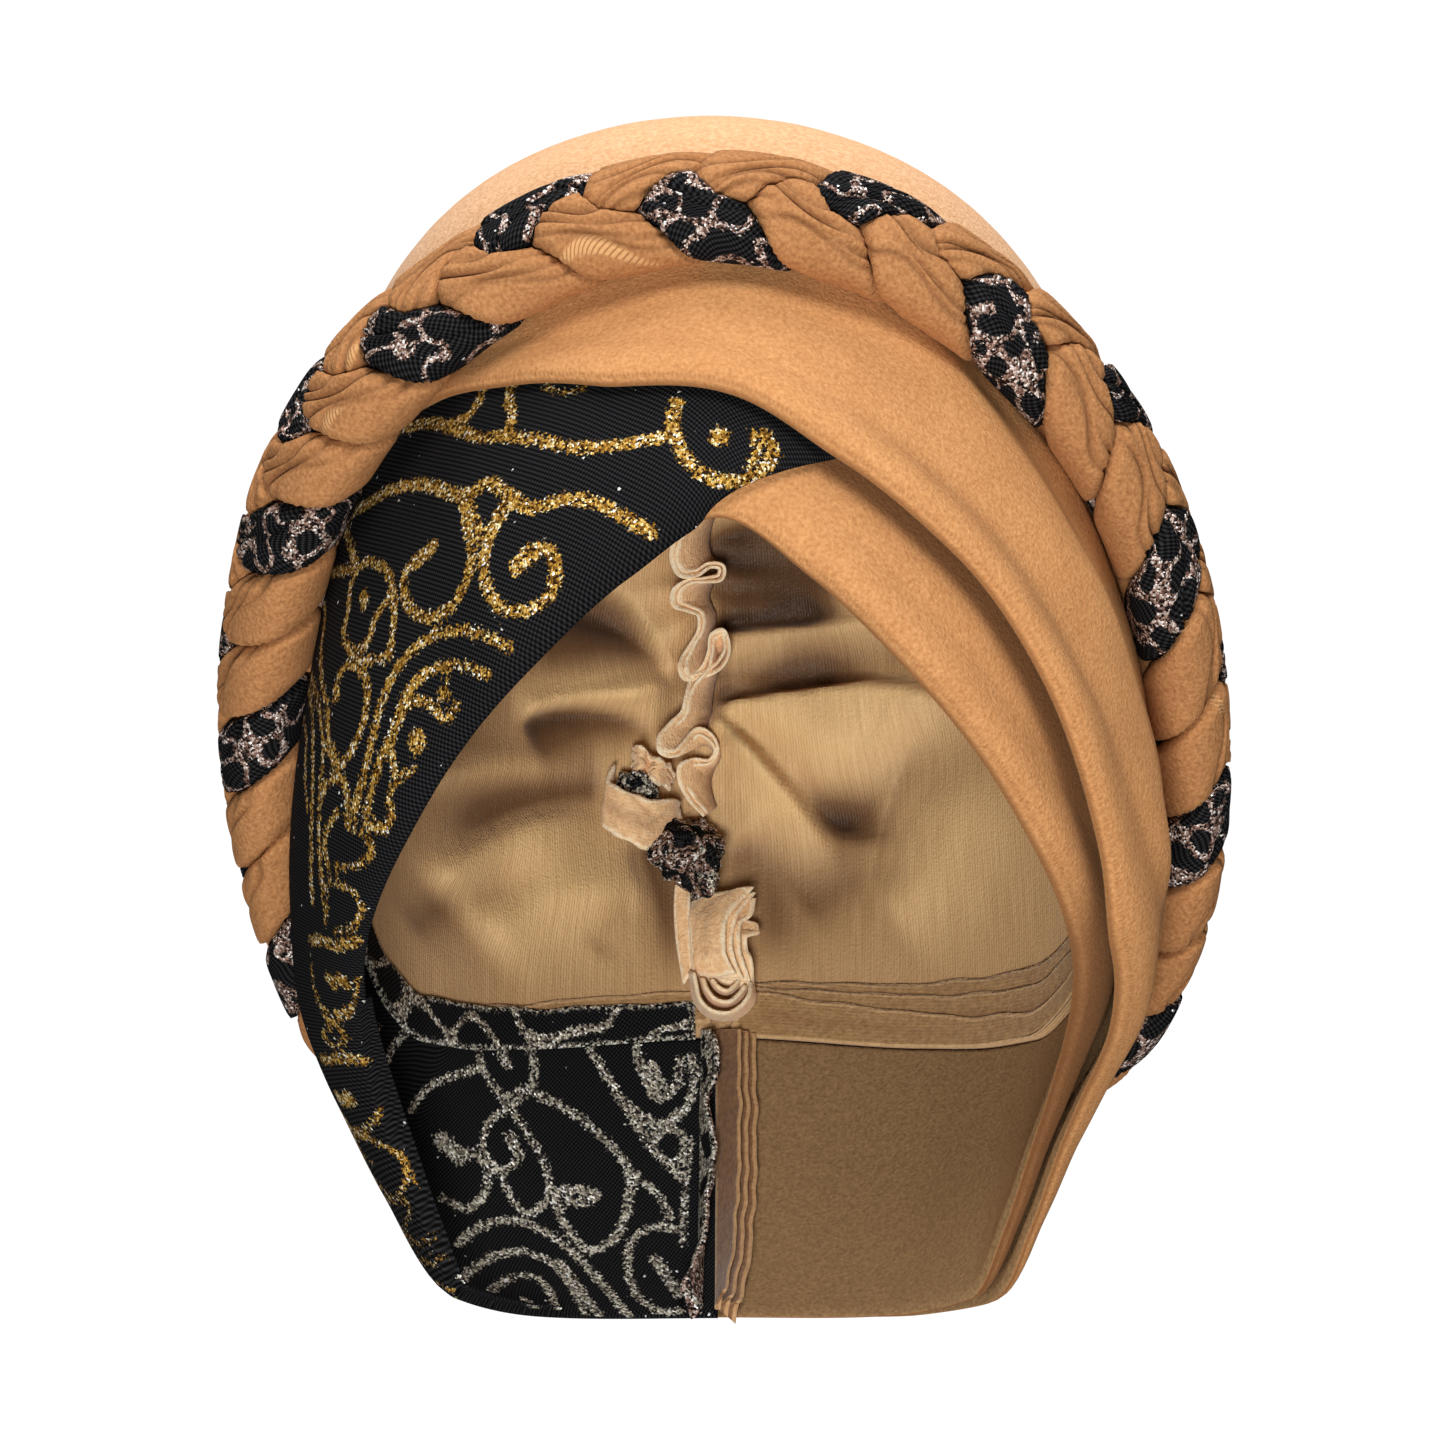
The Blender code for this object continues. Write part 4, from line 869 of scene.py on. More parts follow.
def lurex_scroll(inner, outer, azimuths, view):
    """How far each point of the black band's two faces is from its ornament."""
    nape = azimuths < INNER_CHART_TO
    outside = stroke_distance(outer, view.laid_on(outer, charted(OUTER_LINES, OUTER_DOTS)) + hidden_lines())
    inside = outside.copy()
    inside[nape] = stroke_distance(inner[nape], view.laid_on(inner[nape], charted(INNER_LINES, INNER_DOTS)))
    return np.concatenate((inside.ravel(), outside.ravel()))


def charted_folds(points, view):
    """How far the inside stands in towards the viewer beside each charted fold."""
    pixels = view.pixels(points)
    raised = np.zeros(points.shape[:-1])
    for height, width_left, width_right, *line in CROWN_FOLDS:
        line = drawn(pairs(line))
        steps = np.linspace(0, 1, len(line))
        nearest = np.full(raised.shape, np.inf)
        aside, share = np.zeros(raised.shape), np.zeros(raised.shape)
        for k, (start, end) in enumerate(zip(line[:-1], line[1:])):
            along, apart = along_segment(pixels, start, end)
            offset, run = pixels - start, end - start
            side = np.sign(offset[..., 1] * run[0] - offset[..., 0] * run[1])
            closer = apart < nearest
            nearest = np.where(closer, apart, nearest)
            aside = np.where(closer, side * apart, aside)
            share = np.where(closer, steps[k] + along * (steps[k + 1] - steps[k]), share)
        distance = aside * MILLIMETRES_PER_PIXEL
        left = np.exp(-(np.clip(-distance, 0, None) / width_left) ** FOLD_FALL)
        right = np.exp(-(np.clip(distance, 0, None) / width_right) ** FOLD_FALL)
        fade = ease(share / FOLD_BEGINS) * ease((1 - share) / FOLD_ENDS)
        raised += height * fade * left * right
    return raised


def crown(finish, view):
    """The dome: satin inside, brushed outside, with the folds of its gathered back."""
    spans = ((-180, -CROWN_BACK_FROM, CROWN_BACK_COLUMNS),
             (-CROWN_BACK_FROM, CROWN_BACK_FROM, CROWN_FRONT_COLUMNS),
             (CROWN_BACK_FROM, 180, CROWN_BACK_COLUMNS))
    azimuths = np.concatenate([np.linspace(*span, endpoint=False) for span in spans])
    column, share = np.meshgrid(azimuths, np.linspace(0, CROWN_TOP_SHARE, CROWN_ROWS), indexing="ij")
    surface, normal = crown_surface(column, share), normals(crown_surface, column, share)
    behind = ease((surface[..., 1] - HEAD_TOP[1]) / FOLD_SIDE_FADE)
    charted_in = charted_folds(surface, view) * behind * ease(share / FOLD_FOOT_SHARE)
    soft_folds = crease_depth(column, share) + gathers(column, share)
    folds = soft_folds + np.where(charted_in > 0, charted_in, charted_in * FOLD_OUT_SHARE)
    columns, rows = column.shape
    count = columns * rows + 1
    points, faces = [], []
    for skin, offset in enumerate((0.0, CROWN_WALL)):
        points += [(surface + normal * (offset - folds)[..., None]).reshape(-1, 3), [HEAD_TOP + (0, 0, offset)]]
        index = np.arange(columns * rows).reshape(columns, rows) + skin * count
        closed = np.concatenate((index, index[:1]))
        tip = np.stack((closed[:-1, -1], closed[1:, -1], np.full(columns, (skin + 1) * count - 1)), 1)
        quads = grid_faces(closed)
        faces += [quads[:, ::-1], tip[:, ::-1]] if skin == 0 else [quads, tip]
    foot = np.concatenate((np.arange(columns), (0,))) * rows
    faces.append(np.stack((foot[:-1], foot[1:], foot[1:] + count, foot[:-1] + count), 1))
    far = np.full(share.shape, FAR_FROM_EDGE)
    cloth = np.stack((column % 360 * COLUMN_WIDTH, share * CROWN_HEIGHT, far), -1).reshape(-1, 3)
    cloth = np.concatenate((cloth, [(0, CROWN_HEIGHT, FAR_FROM_EDGE)]))
    # The fold heights are kept to paint shade in the hollows and highlight on the ridges of the inside.
    raised = np.concatenate(((soft_folds + charted_in).ravel(), (0.0,)))
    make_piece("crown", np.concatenate(points), faces, finish, "tan_satin_cloth", cloth=both_faces(cloth),
               outside=face_sides(count), fold=np.concatenate((raised, raised)))


def strand_centres(angle):
    """Where a strand lies in the braid's section, at each angle of its turn."""
    return np.stack((STRAND_SWING * np.sin(angle), STRAND_RISE * np.sin(2 * angle)), -1)


def strand_reaches(angle, ways):
    """How far a strand's surface is from its centre in each direction.

    Its own size, the braid's outline and the dividing lines that it shares with its neighbours are blended, so
    that no corner is sharp.
    """
    centre = strand_centres(angle)
    limits = [np.broadcast_to(1 / np.linalg.norm(ways / FINE_HALF_SIZE, axis=1), (len(angle), len(ways)))]
    place, slope = centre / BRAID_HALF_SIZE, ways / BRAID_HALF_SIZE
    square, cross = np.sum(slope ** 2, axis=1)[None, :], place @ slope.T
    rest = 1 - np.sum(place ** 2, axis=1)[:, None]
    limits.append((np.sqrt(cross ** 2 + square * rest) - cross) / square)
    for other in (FULL_TURN / 3, -FULL_TURN / 3):
        neighbour = strand_centres(angle + other)
        apart = unit(neighbour - centre)
        room = np.sum(((centre + neighbour) / 2 - centre) * apart, axis=1) - FINE_GAP / 2
        facing = apart @ ways.T
        limits.append(np.where(facing > 0.02, room[:, None] / np.maximum(facing, 0.02), 1e3))
    return np.sum(np.stack(limits) ** -SOFT_CORNER, axis=0) ** (-1 / SOFT_CORNER)


def turned_from(around, direction, drift=0.0):
    """The angle from a direction, in degrees, to each angle round a strand, between half a turn back and on."""
    return (around[None, :] - math.radians(direction) - drift + math.pi) % FULL_TURN - math.pi


def bare_strips(name, turns, around, reach):
    """1 where a strand's bare satin side shows."""
    bare = np.zeros(reach.shape)
    for strand_name, start, end, direction, half_width in BARE_STRIPS:
        if strand_name == name:
            share = (turns - start) / (end - start)
            lens = half_width * np.clip(4 * share * (1 - share), 0, None)[:, None]
            aside = np.abs(turned_from(around, direction) * reach)
            bare = np.maximum(bare, np.clip((lens - aside) / BARE_STRIP_SOFT, 0, 1))
    return bare


def strand(name, phase, finish, slot, seed):
    """One strand of the braid: a soft rolled tube with lengthwise creases."""
    first, last = BRAID_TURNS["turns"][0], BRAID_TURNS["turns"][-1]
    turns = np.linspace(first, last, int((last - first) * FINE_SECTIONS))
    azimuths = smooth(BRAID_TURNS["turns"], BRAID_TURNS["azimuth"], turns)
    centre, side, out = braid_frames(azimuths)
    around = FULL_TURN * np.arange(FINE_SIDES) / FINE_SIDES
    ways = np.stack((np.cos(around), np.sin(around)), -1)
    angle = FULL_TURN * turns + phase
    reach = smooth_reach = strand_reaches(angle, ways)
    for k, (direction, depth) in enumerate(STRAND_CREASES):
        drift = CREASE_DRIFT * wander(turns, 1.7, seed + 3.1 * k)[:, None]
        strength = depth * (CREASE_MEAN + CREASE_VARIES * wander(turns, 0.9, seed + k))
        aside = turned_from(around, direction, drift) * reach
        reach = reach - np.maximum(strength, 0)[:, None] * np.exp(-(aside / CREASE_WIDTH) ** 2)
    to_end = np.minimum(turns - first, last - turns)
    size = STRAND_END_SIZE + (1 - STRAND_END_SIZE) * ease(to_end / STRAND_END_TAPER)
    size = size * read(BRAID_OUT, "size", azimuths)
    flat = (strand_centres(angle)[:, None] + ways[None] * reach[..., None]) * size[:, None, None]
    points = centre[:, None] + side[:, None] * flat[..., :1] + out[:, None] * flat[..., 1:]
    index = np.arange(reach.size).reshape(reach.shape)
    ends = np.stack((index[0, ::-1], index[-1]))
    along = np.repeat((turns * TURN_LENGTH)[:, None], FINE_SIDES, 1)
    girth = np.broadcast_to(around * GIRTH_LENGTH, along.shape)
    cloth = np.stack((along, girth, np.full(along.shape, FAR_FROM_EDGE)), -1).reshape(-1, 3)
    # Each crease's depth is kept to darken the crease as painted shade.
    piece = make_piece(name, points.reshape(-1, 3), [grid_faces(index, wrapped=True), ends], finish, slot,
                       cloth=cloth, outside=np.ones(len(cloth)), crease=(smooth_reach - reach).ravel(),
                       bare=bare_strips(name, turns, around, reach).ravel())


def azimuth_of(reach):
    """The azimuth near the centre back of a place across, given as a share of its level's half width."""
    return 180.0 - np.degrees(np.arcsin(np.clip(reach, -1, 1)))


def back_points(across, up):
    """Points of the inner face near the centre back, by distances across and up from the foot of the seam."""
    across, up = np.broadcast_arrays(np.asarray(across, float), np.asarray(up, float))
    places = np.linspace(-1, 1, 321)
    below = places < 0
    line = np.concatenate((band_surface(180.0, 1 + places[below]), crown_surface(180.0, places[~below])))
    distance = run_lengths(line)
    place = np.interp(up, distance - distance[np.sum(below)], places)
    climb = np.clip(place, 0, 1)
    nape_azimuth = azimuth_of(across / (SEAM_HALF_WIDTH * (1 + place) - RIM_HALF_WIDTH * place))
    level = np.cos(climb * math.pi / 2) ** (2 / CROWN_FULLNESS)
    dome_azimuth = azimuth_of((HEAD_TOP[0] + (across - HEAD_TOP[0]) / level) / SEAM_HALF_WIDTH)
    dent = np.maximum(0.0, crease_depth(dome_azimuth, climb))
    dome = crown_surface(dome_azimuth, climb) - outward(dome_azimuth) * dent[..., None]
    nape = band_surface(nape_azimuth, 1 + np.clip(place, -1, 0))
    return np.where((place < 0)[..., None], nape, dome)


def back_places(across, up, depth):
    """Points at a depth in from the inner face near the centre back."""
    step = 1.5
    along = back_points(across, up + step) - back_points(across, up - step)
    aside = back_points(across + step, up) - back_points(across - step, up)
    inward = np.cross(aside, along)
    inward /= np.maximum(np.linalg.norm(inward, axis=-1, keepdims=True), 1e-6)
    return back_points(across, up) + inward * np.asarray(depth)[..., None]


def sheet_normals(middle):
    return unit(np.cross(np.gradient(middle, axis=0), np.gradient(middle, axis=1)))


def thickened(middle, thickness):
    """Both faces of a thin sheet around its middle, thinner at its border so that the edges are round."""
    border = np.ones(middle.shape[:2])
    border[:, (0, -1)] = EDGE_THINNING
    border[(0, -1), :] = EDGE_THINNING
    offset = sheet_normals(middle) * (thickness / 2 * border)[..., None]
    return middle - offset, middle + offset


def edge_distance(middle):
    """A rough distance from the sides of a strip, in millimetres."""
    columns, rows = middle.shape[:2]
    share = np.linspace(0, 1, rows)[None]
    width = np.linalg.norm(middle[:, -1] - middle[:, 0], axis=-1)[:, None]
    along = np.linspace(0, 1, columns)[:, None]
    length = np.linalg.norm(middle[-1] - middle[0], axis=-1)[None]
    return np.minimum(np.minimum(share, 1 - share) * width, np.minimum(along, 1 - along) * length)


def loose_sheet(name, middles, finish, edges=edge_distance):
    """One piece of one or more thin sheets near the centre back. Edges gives distances from the cut edge."""
    points, faces, cloths, sides, start = [], [], [], [], 0
    for middle in middles:
        part, quads = closed_sheet(*thickened(middle, LOOSE_WALLS[name]))
        along, across = (np.cumsum(np.linalg.norm(np.gradient(middle, axis=way), axis=-1), way)
                         for way in (0, 1))
        points.append(part)
        faces.append(quads + start)
        cloths.append(both_faces(np.stack((along, across, edges(middle)), -1)))
        sides.append(face_sides(len(part) // 2))
        start += len(part)
    slot = "black_lurex_cloth" if "lurex" in name else "tan_cloth_edge"
    make_piece(name, np.concatenate(points), faces, finish, slot, cloth=np.concatenate(cloths),
               outside=np.concatenate(sides))


def ruled(first, second, rows, bulge=0.0):
    """A sheet's middle between two lines of points, bent out of its plane by a bulge."""
    share = np.linspace(0, 1, rows)[None, :, None]
    middle = first[:, None] * (1 - share) + second[:, None] * share
    return middle + sheet_normals(middle) * bulge * np.sin(math.pi * share)


def ruffle_root(edge):
    """The ruffle's foot in pixels: nearly straight, and level with a calmed run of the cut edge."""
    share = np.linspace(0, 1, RUFFLE_STATIONS)
    window = 2 * RUFFLE_ROOT_CALM + 1
    calmed = np.convolve(np.pad(edge[:, 1], RUFFLE_ROOT_CALM, "edge"), np.ones(window) / window, "valid")
    down = 0.5 * (RUFFLE_ROOT_TOP + RUFFLE_ROOT_RUN * share) + 0.5 * calmed
    return np.stack((RUFFLE_ROOT_X + RUFFLE_ROOT_SWING * (edge[:, 0] - RUFFLE_ROOT_X), down), 1)


def ruffle_edges(middle):
    """Each point's distance from the ruffle's cut edge."""
    return np.broadcast_to(np.linspace(RUFFLE_DEPTH, 0, RUFFLE_ROWS)[None], middle.shape[:2])


def ruffle(finish, view):
    """The gathered allowance: two thin edges that swing from side to side together."""
    edge = drawn(RUFFLE_EDGE, RUFFLE_STATIONS)
    root = ruffle_root(edge)
    run = np.gradient(edge, axis=0)
    aside = unit(np.stack((-run[:, 1], run[:, 0]), 1))
    share = np.linspace(0, 1, RUFFLE_STATIONS)
    lifted = np.clip(charted_folds(view.placed(root, np.zeros(RUFFLE_STATIONS)), view), 0, None)
    middles = []
    for side in (-1, 1):
        depth = RUFFLE_DEPTH - RUFFLE_SINKS + RUFFLE_VARIES * wander(share, 0.21, 2 + side)
        apart = (RUFFLE_APART + wander(share, 0.17, 6))[:, None]
        first = view.placed(root + aside * side * RUFFLE_ROOT_APART, RUFFLE_ROOT_DEPTH + lifted)
        second = view.placed(edge + aside * side * apart, np.maximum(depth, lifted + RUFFLE_LEAST_HEIGHT))
        middles.append(ruled(first, second, RUFFLE_ROWS))
    loose_sheet("crown_seam_ruffle", middles, finish, ruffle_edges)


def charted_strip(view, rows, along=60, across=20, bulge=0.0, seed=0, amount=0.0):
    """The middle of a strip whose rows are charted in pixels and depths, crumpled by a small amount."""
    fine = drawn(rows, along)
    middle = ruled(view.placed(fine[:, :2], fine[:, 2]), view.placed(fine[:, 3:5], fine[:, 5]), across, bulge)
    run, way = np.meshgrid(np.linspace(0, 1, along), np.linspace(0, 1, across), indexing="ij")
    waves = (wander(run + way, 0.9, seed), wander(way - run, 0.7, seed + 2),
             wander(run * 2 + way, 1.1, seed + 4))
    return middle + amount * np.stack(waves, -1)


def tabs(edge_finish, lurex_finish, view):
    """The ends of the braid's strands, which come through the seam and curl."""
    tan = [charted_strip(view, TAN_TAB_ROWS, seed=1, amount=0.25),
           charted_strip(view, TAN_CRUMPLE_ROWS, seed=2, amount=0.5)]
    black = [charted_strip(view, rows, across=40, bulge=1.5, seed=3 + 2 * k, amount=1.1)
             for k, rows in enumerate(BLACK_BUNCH)]
    black.append(charted_strip(view, BLACK_BIT_ROWS, along=40, across=16, seed=4, amount=0.6))
    thick = [charted_strip(view, rows, across=30, bulge=1.0, seed=5 + k, amount=0.2)
             for k, rows in enumerate(THICK_TAB_LAYERS)]
    thick += [charted_strip(view, rows, across=12) for rows in CUFF_LAYERS]
    thick.append(charted_strip(view, LEFT_STRIP_ROWS, along=50, across=12, bulge=0.8))
    loose_sheet("tab_tan", tan, edge_finish)
    loose_sheet("tab_lurex", black, lurex_finish)
    loose_sheet("tab_thick", thick, edge_finish)


def seam_middle(start, end, foot, top, depth):
    """The middle of a strip inside the seam between band and crown. Foot and top are heights above the seam."""
    azimuths = np.linspace(start, end, int((end - start) * COLUMN_WIDTH / SEAM_SPACING))
    low = np.interp(azimuths, *foot)[:, None]
    high = (np.interp(azimuths, *top) + SEAM_TOP_VARIES * wander(azimuths, 23, depth))[:, None]
    height = low + (high - low) * np.linspace(0, 1, SEAM_ROWS)[None]
    column = np.repeat(azimuths[:, None], SEAM_ROWS, 1)
    rise = np.clip(height, 0, None) / (HEAD_TOP[2] - seam_ring(azimuths)[:, 2])[:, None]
    crown_share = np.arcsin(rise ** (CROWN_FULLNESS / 2)) * 2 / math.pi
    band_share = 1 + np.clip(height, None, 0) / band_height(azimuths)[:, None]
    lift = (-depth - crease_depth(column, crown_share))[..., None]
    on_crown = crown_surface(column, crown_share) + normals(crown_surface, column, crown_share) * lift
    on_band = band_surface(column, band_share) - normals(band_surface, column, band_share) * depth
    mix = ease((height + SEAM_TURN) / (2 * SEAM_TURN))[..., None]
    return on_band * (1 - mix) + on_crown * mix


def band_seams(edge_finish, lurex_finish):
    """The allowances of the seam between the crown and the band."""
    loose_sheet("band_seam_lurex", [seam_middle(*row) for row in BLACK_SEAMS], lurex_finish)
    loose_sheet("band_seam_tan", [seam_middle(*row) for row in TAN_SEAMS], edge_finish)


def nape_middle(rows, seed, shift=0.0, deeper=0.0):
    """The middle of an upright allowance inside the nape. Below the nape's foot it hangs straight down."""
    rows = np.array(rows) + (0, 0, 0, shift, 0, deeper)
    stations = np.linspace(0, len(rows) - 1, NAPE_STATIONS)
    fine = [smooth(np.arange(len(rows), dtype=float), column, stations)[:, None] for column in rows.T]
    share = np.linspace(0, 1, NAPE_ROWS)[None]
    across, up, depth = (fine[k] * (1 - share) + fine[k + 3] * share for k in range(3))
    sway = wander(fine[1] / 70 + 0 * share, 0.3, seed) * share
    middle = back_places(across + NAPE_SWAY * sway, np.maximum(up, NAPE_FOOT), depth)
    middle[..., 2] += np.minimum(up - NAPE_FOOT, 0)
    return middle


def nape_seams(edge_finish, lurex_finish):
    """The upright allowances at the centre back of the nape."""
    tan = [nape_middle(TAN_NAPE_ROWS, 4, shift, deeper) for shift, deeper in NAPE_LAYERS]
    loose_sheet("nape_seam_lurex", [nape_middle(BLACK_NAPE_ROWS, 3)], lurex_finish)
    loose_sheet("nape_seam_tan", tan, edge_finish)


def linear(red, green, blue):
    """A screen colour of 0 to 255 as linear light, with full opacity."""
    return tuple(((value / 255 + 0.055) / 1.055) ** 2.4 for value in (red, green, blue)) + (1.0,)


class Value:
    """A value or colour in a material. Sums with it add nodes."""

    def __init__(self, finish, socket):
        self.finish, self.socket = finish, socket

    def __add__(self, other):
        return self.finish.maths("ADD", self, other)

    def __sub__(self, other):
        return self.finish.maths("SUBTRACT", self, other)

    def __rsub__(self, other):
        return self.finish.maths("SUBTRACT", other, self)

    def __mul__(self, other):
        return self.finish.maths("MULTIPLY", self, other)

    def __truediv__(self, other):
        return self.finish.maths("DIVIDE", self, other)

    def waves(self, pitch):
        """Even waves between -1 and 1, so many millimetres apart."""
        return self.finish.maths("SINE", self * (FULL_TURN / pitch))

    def clamped(self):
        """The same value, kept between 0 and 1."""
        self.socket.node.use_clamp = True
        return self

    def between(self, low, high, soft):
        """1 where the value is between two limits, with soft ends."""
        return ((self - low) / soft).clamped() * ((high - self) / soft).clamped()


class Finish:
    """A node material under construction."""

    def __init__(self, name, roughness, sheen=0.0, specular=0.25):
        self.material = bpy.data.materials.new(name)
        self.material.use_nodes = True
        self.tree = self.material.node_tree
        self.shader = self.tree.nodes["Principled BSDF"]
        self.put("Roughness", roughness)
        self.put("Sheen Weight", sheen)
        self.put("Specular IOR Level", specular)
        self.place = Value(self, self.tree.nodes.new("ShaderNodeTexCoord").outputs["Object"])

    def set(self, socket, value):
        if isinstance(value, Value):
            self.tree.links.new(value.socket, socket)
        else:
            socket.default_value = value

    def put(self, name, value):
        """Give one of the surface's own inputs a value."""
        self.set(self.shader.inputs[name], value)

    def node(self, kind, inputs, output=0, **settings):
        """A new node with its settings and inputs, as the value of one of its outputs."""
        node = self.tree.nodes.new("ShaderNode" + kind)
        for name, value in settings.items():
            setattr(node, name, value)
        for socket, value in inputs.items():
            self.set(node.inputs[socket], value)
        return Value(self, node.outputs[output])

    def maths(self, operation, a, b=0.0):
        return self.node("Math", {0: a, 1: b}, operation=operation)

    def noise(self, scale, detail=2.0, place=None):
        return self.node("TexNoise", {"Scale": scale, "Detail": detail, "Vector": place or self.place}, "Fac")

    def split(self, kind, value):
        """The three parts of a place or colour."""
        node = self.node(kind, {0: value}).socket.node
        return [Value(self, output) for output in node.outputs]

    def cells(self, scale):
        """A random value for each small cell, and the distance from the cell's middle."""
        distance = self.node("TexVoronoi", {"Scale": scale, "Vector": self.place}, "Distance")
        colour = Value(self, distance.socket.node.outputs["Color"])
        return self.split("SeparateColor", colour)[0], distance

    def attribute(self, name, output="Fac"):
        return self.node("Attribute", {}, output, attribute_name=name)

    def cloth(self):
        """The cloth's own distances: along, up, and from its edge, in millimetres."""
        return self.split("SeparateXYZ", self.attribute("cloth", "Vector"))

    def tints(self, factor, *stops, steps=False):
        """A run of colours over a value: each stop is a position, then red, green and blue as linear light."""
        colours = self.node("ValToRGB", {0: factor})
        ramp = colours.socket.node.color_ramp
        ramp.interpolation = "CONSTANT" if steps else "LINEAR"
        while len(ramp.elements) < len(stops):
            ramp.elements.new(0.5)
        for point, (position, *colour) in zip(ramp.elements, stops):
            point.position, point.color = position, (*colour, 1.0)
        return colours

    def colours(self, factor, *stops, steps=False):
        """The same with the stops as screen colours of 0 to 255."""
        stops = [(position, *linear(*colour)[:3]) for position, *colour in stops]
        return self.tints(factor, *stops, steps=steps)

    def mix(self, factor, a, b, blend="MIX"):
        node = self.tree.nodes.new("ShaderNodeMix")
        node.data_type, node.blend_type = "RGBA", blend
        for socket, value in zip((0, 6, 7), (factor, a, b)):
            self.set(node.inputs[socket], value)
        return Value(self, node.outputs[2])

    def bump(self, height, distance):
        self.put("Normal", self.node("Bump", {"Distance": distance, "Strength": 1.0, "Height": height}))


# Pitches of ribs, stitches and twill in millimetres, scales of noise per metre, and heights of relief in metres
STITCH_PITCH, RIB_PITCH, SATIN_RIB_PITCH = 0.85, 0.8, 0.78
TWILL_PITCH, CROSSING_PITCH = 0.95, 1.05
FIBRE_SCALE, THREAD_SCALE, FRINGE_SCALE = 1500.0, 1900.0, 1300.0
RELIEF, EDGE_RELIEF = 0.0003, 0.0004
BARE_KNIT_WIDTH, SATIN_LINE_WIDTH = 0.9, 2.2
CUT_EDGE_WIDTH, ROOT_SHADE_FROM, ROOT_SHADE_RUN = 1.35, 3.0, 6.0
FRINGE_WIDTH, BORDER_WIDTH, LOOSE_LINE_WIDTH = 3.6, 1.3, 24.0
STRAY_THREADS, BORDER_THREADS = 0.9992, 0.35


def brushed(name, dark, middle, light):
    """Napped jersey: a mottled, soft face, with a line of bare knit along each fold, and painted shade in
    creases.
    """
    finish = Finish(name, 0.92, sheen=0.25)
    along, up, run = finish.cloth()
    outside = finish.attribute("outside")
    speckle = finish.noise(1150.0, 4.0)
    patches = finish.tints(finish.noise(70.0, 3.0), (0.3, 0.92, 0.90, 0.88), (0.7, 1, 1, 1))
    nap = finish.colours(speckle, (0.26, *dark), (0.5, *middle), (0.74, *light))
    face = finish.mix(1.0, nap, patches, "MULTIPLY")
    # The inner face: its own duller tone, darkened further as painted shade of the shaded inside.
    reverse_face_and_shade = finish.colours(speckle, (0.30, 122, 93, 61), (0.70, 154, 121, 83))
    colour = finish.mix(outside, reverse_face_and_shade, face)
    stitches = along.waves(STITCH_PITCH) * 0.3 + 0.5
    stitched = run.between(BARE_KNIT_WIDTH, SATIN_LINE_WIDTH, 0.6) * stitches * 0.5
    bare = (stitched + run.between(-1.0, BARE_KNIT_WIDTH, 0.6) * 0.8).clamped() * outside
    colour = finish.mix(bare, colour, linear(136, 88, 48))
    ribs = (along + up * 0.5).waves(RIB_PITCH) * 0.5 + 0.5
    satin = finish.colours(ribs, (0.0, 158, 108, 64), (0.5, 208, 158, 106))
    colour = finish.mix(finish.attribute("bare"), colour, satin)
    # Painted shade: darker where the wrap layers press together and deep in the strands' creases.
    creased = (finish.attribute("crease") / 2.6).clamped()
    finish.put("Base Color", finish.mix(creased, colour, linear(92, 54, 28)))
    finish.put("Sheen Roughness", 0.5)
    finish.put("Sheen Tint", linear(*light))
    finish.bump(finish.noise(FIBRE_SCALE, 3.0) + speckle * 0.7, RELIEF)
    return finish.material


def satin_and_brushed():
    """The crown's jersey: satin inside with painted shade and highlight on its folds, brushed outside."""
    finish = Finish("tan_satin_cloth_detail", 0.5, sheen=0.15)
    along, up = finish.cloth()[:2]
    outside = finish.attribute("outside")
    ribs = finish.maths("SINE", along * (FULL_TURN / SATIN_RIB_PITCH) + finish.noise(160.0) * 2.5)
    streaks = finish.noise(1.0, 3.0, finish.node("CombineXYZ", {0: along * 1.1, 1: up * 0.10}))
    satin = finish.colours(streaks, (0.3, 202, 164, 116), (0.5, 210, 173, 124), (0.7, 218, 182, 133))
    shade = finish.tints(ribs * 0.5 + 0.5, (0.0, 0.95, 0.94, 0.93), (0.6, 1, 1, 1))
    satin = finish.mix(1.0, satin, shade, "MULTIPLY")
    # Painted shade in the fold hollows and painted highlight on the fold ridges, set by the fold heights.
    fold_shade_and_highlight = finish.tints(finish.attribute("fold") * 0.07 + 0.5, (0.0, 0.09, 0.06, 0.045),
                        (0.25, 0.30, 0.23, 0.19), (0.5, 0.80, 0.74, 0.70), (0.68, 1.08, 1.05, 1.0),
                        (1.0, 1.3, 1.3, 1.22))
    satin = finish.mix(1.0, satin, fold_shade_and_highlight, "MULTIPLY")
    speckle = finish.noise(900.0, 4.0)
    # The outside's nap is paler than the band's brushed tan: painted light from the lamp above.
    nap = finish.colours(speckle, (0.34, 214, 160, 112), (0.5, 226, 174, 127), (0.66, 236, 188, 142))
    finish.put("Base Color", finish.mix(outside, satin, nap))
    finish.put("Roughness", outside * 0.42 + 0.48)
    finish.bump(ribs * (0.12 - outside * 0.12) + finish.noise(FIBRE_SCALE), RELIEF)
    return finish.material


def cut_edges(name, face_colours, pale_colours):
    """The allowances: plain jersey with pale cut edges, and painted shade towards the root."""
    finish = Finish(name, 0.8, sheen=0.25)
    up, edge = finish.cloth()[1:]
    speckle = finish.noise(800.0, 3.0)
    face, pale = (finish.colours(speckle, (0.35, *dark), (0.65, *light))
                  for dark, light in (face_colours, pale_colours))
    # Painted shade: darker towards the root of an allowance, away from its cut edge.
    face = finish.mix(((edge - ROOT_SHADE_FROM) / ROOT_SHADE_RUN).clamped(), face, linear(124, 80, 48))
    near = ((CUT_EDGE_WIDTH - (edge + finish.noise(900.0) * 0.5)) / 0.4).clamped()
    finish.put("Base Color", finish.mix(near, face, pale))
    finish.bump(finish.noise(FIBRE_SCALE) + up.waves(RIB_PITCH) * 0.06, EDGE_RELIEF)
    return finish.material
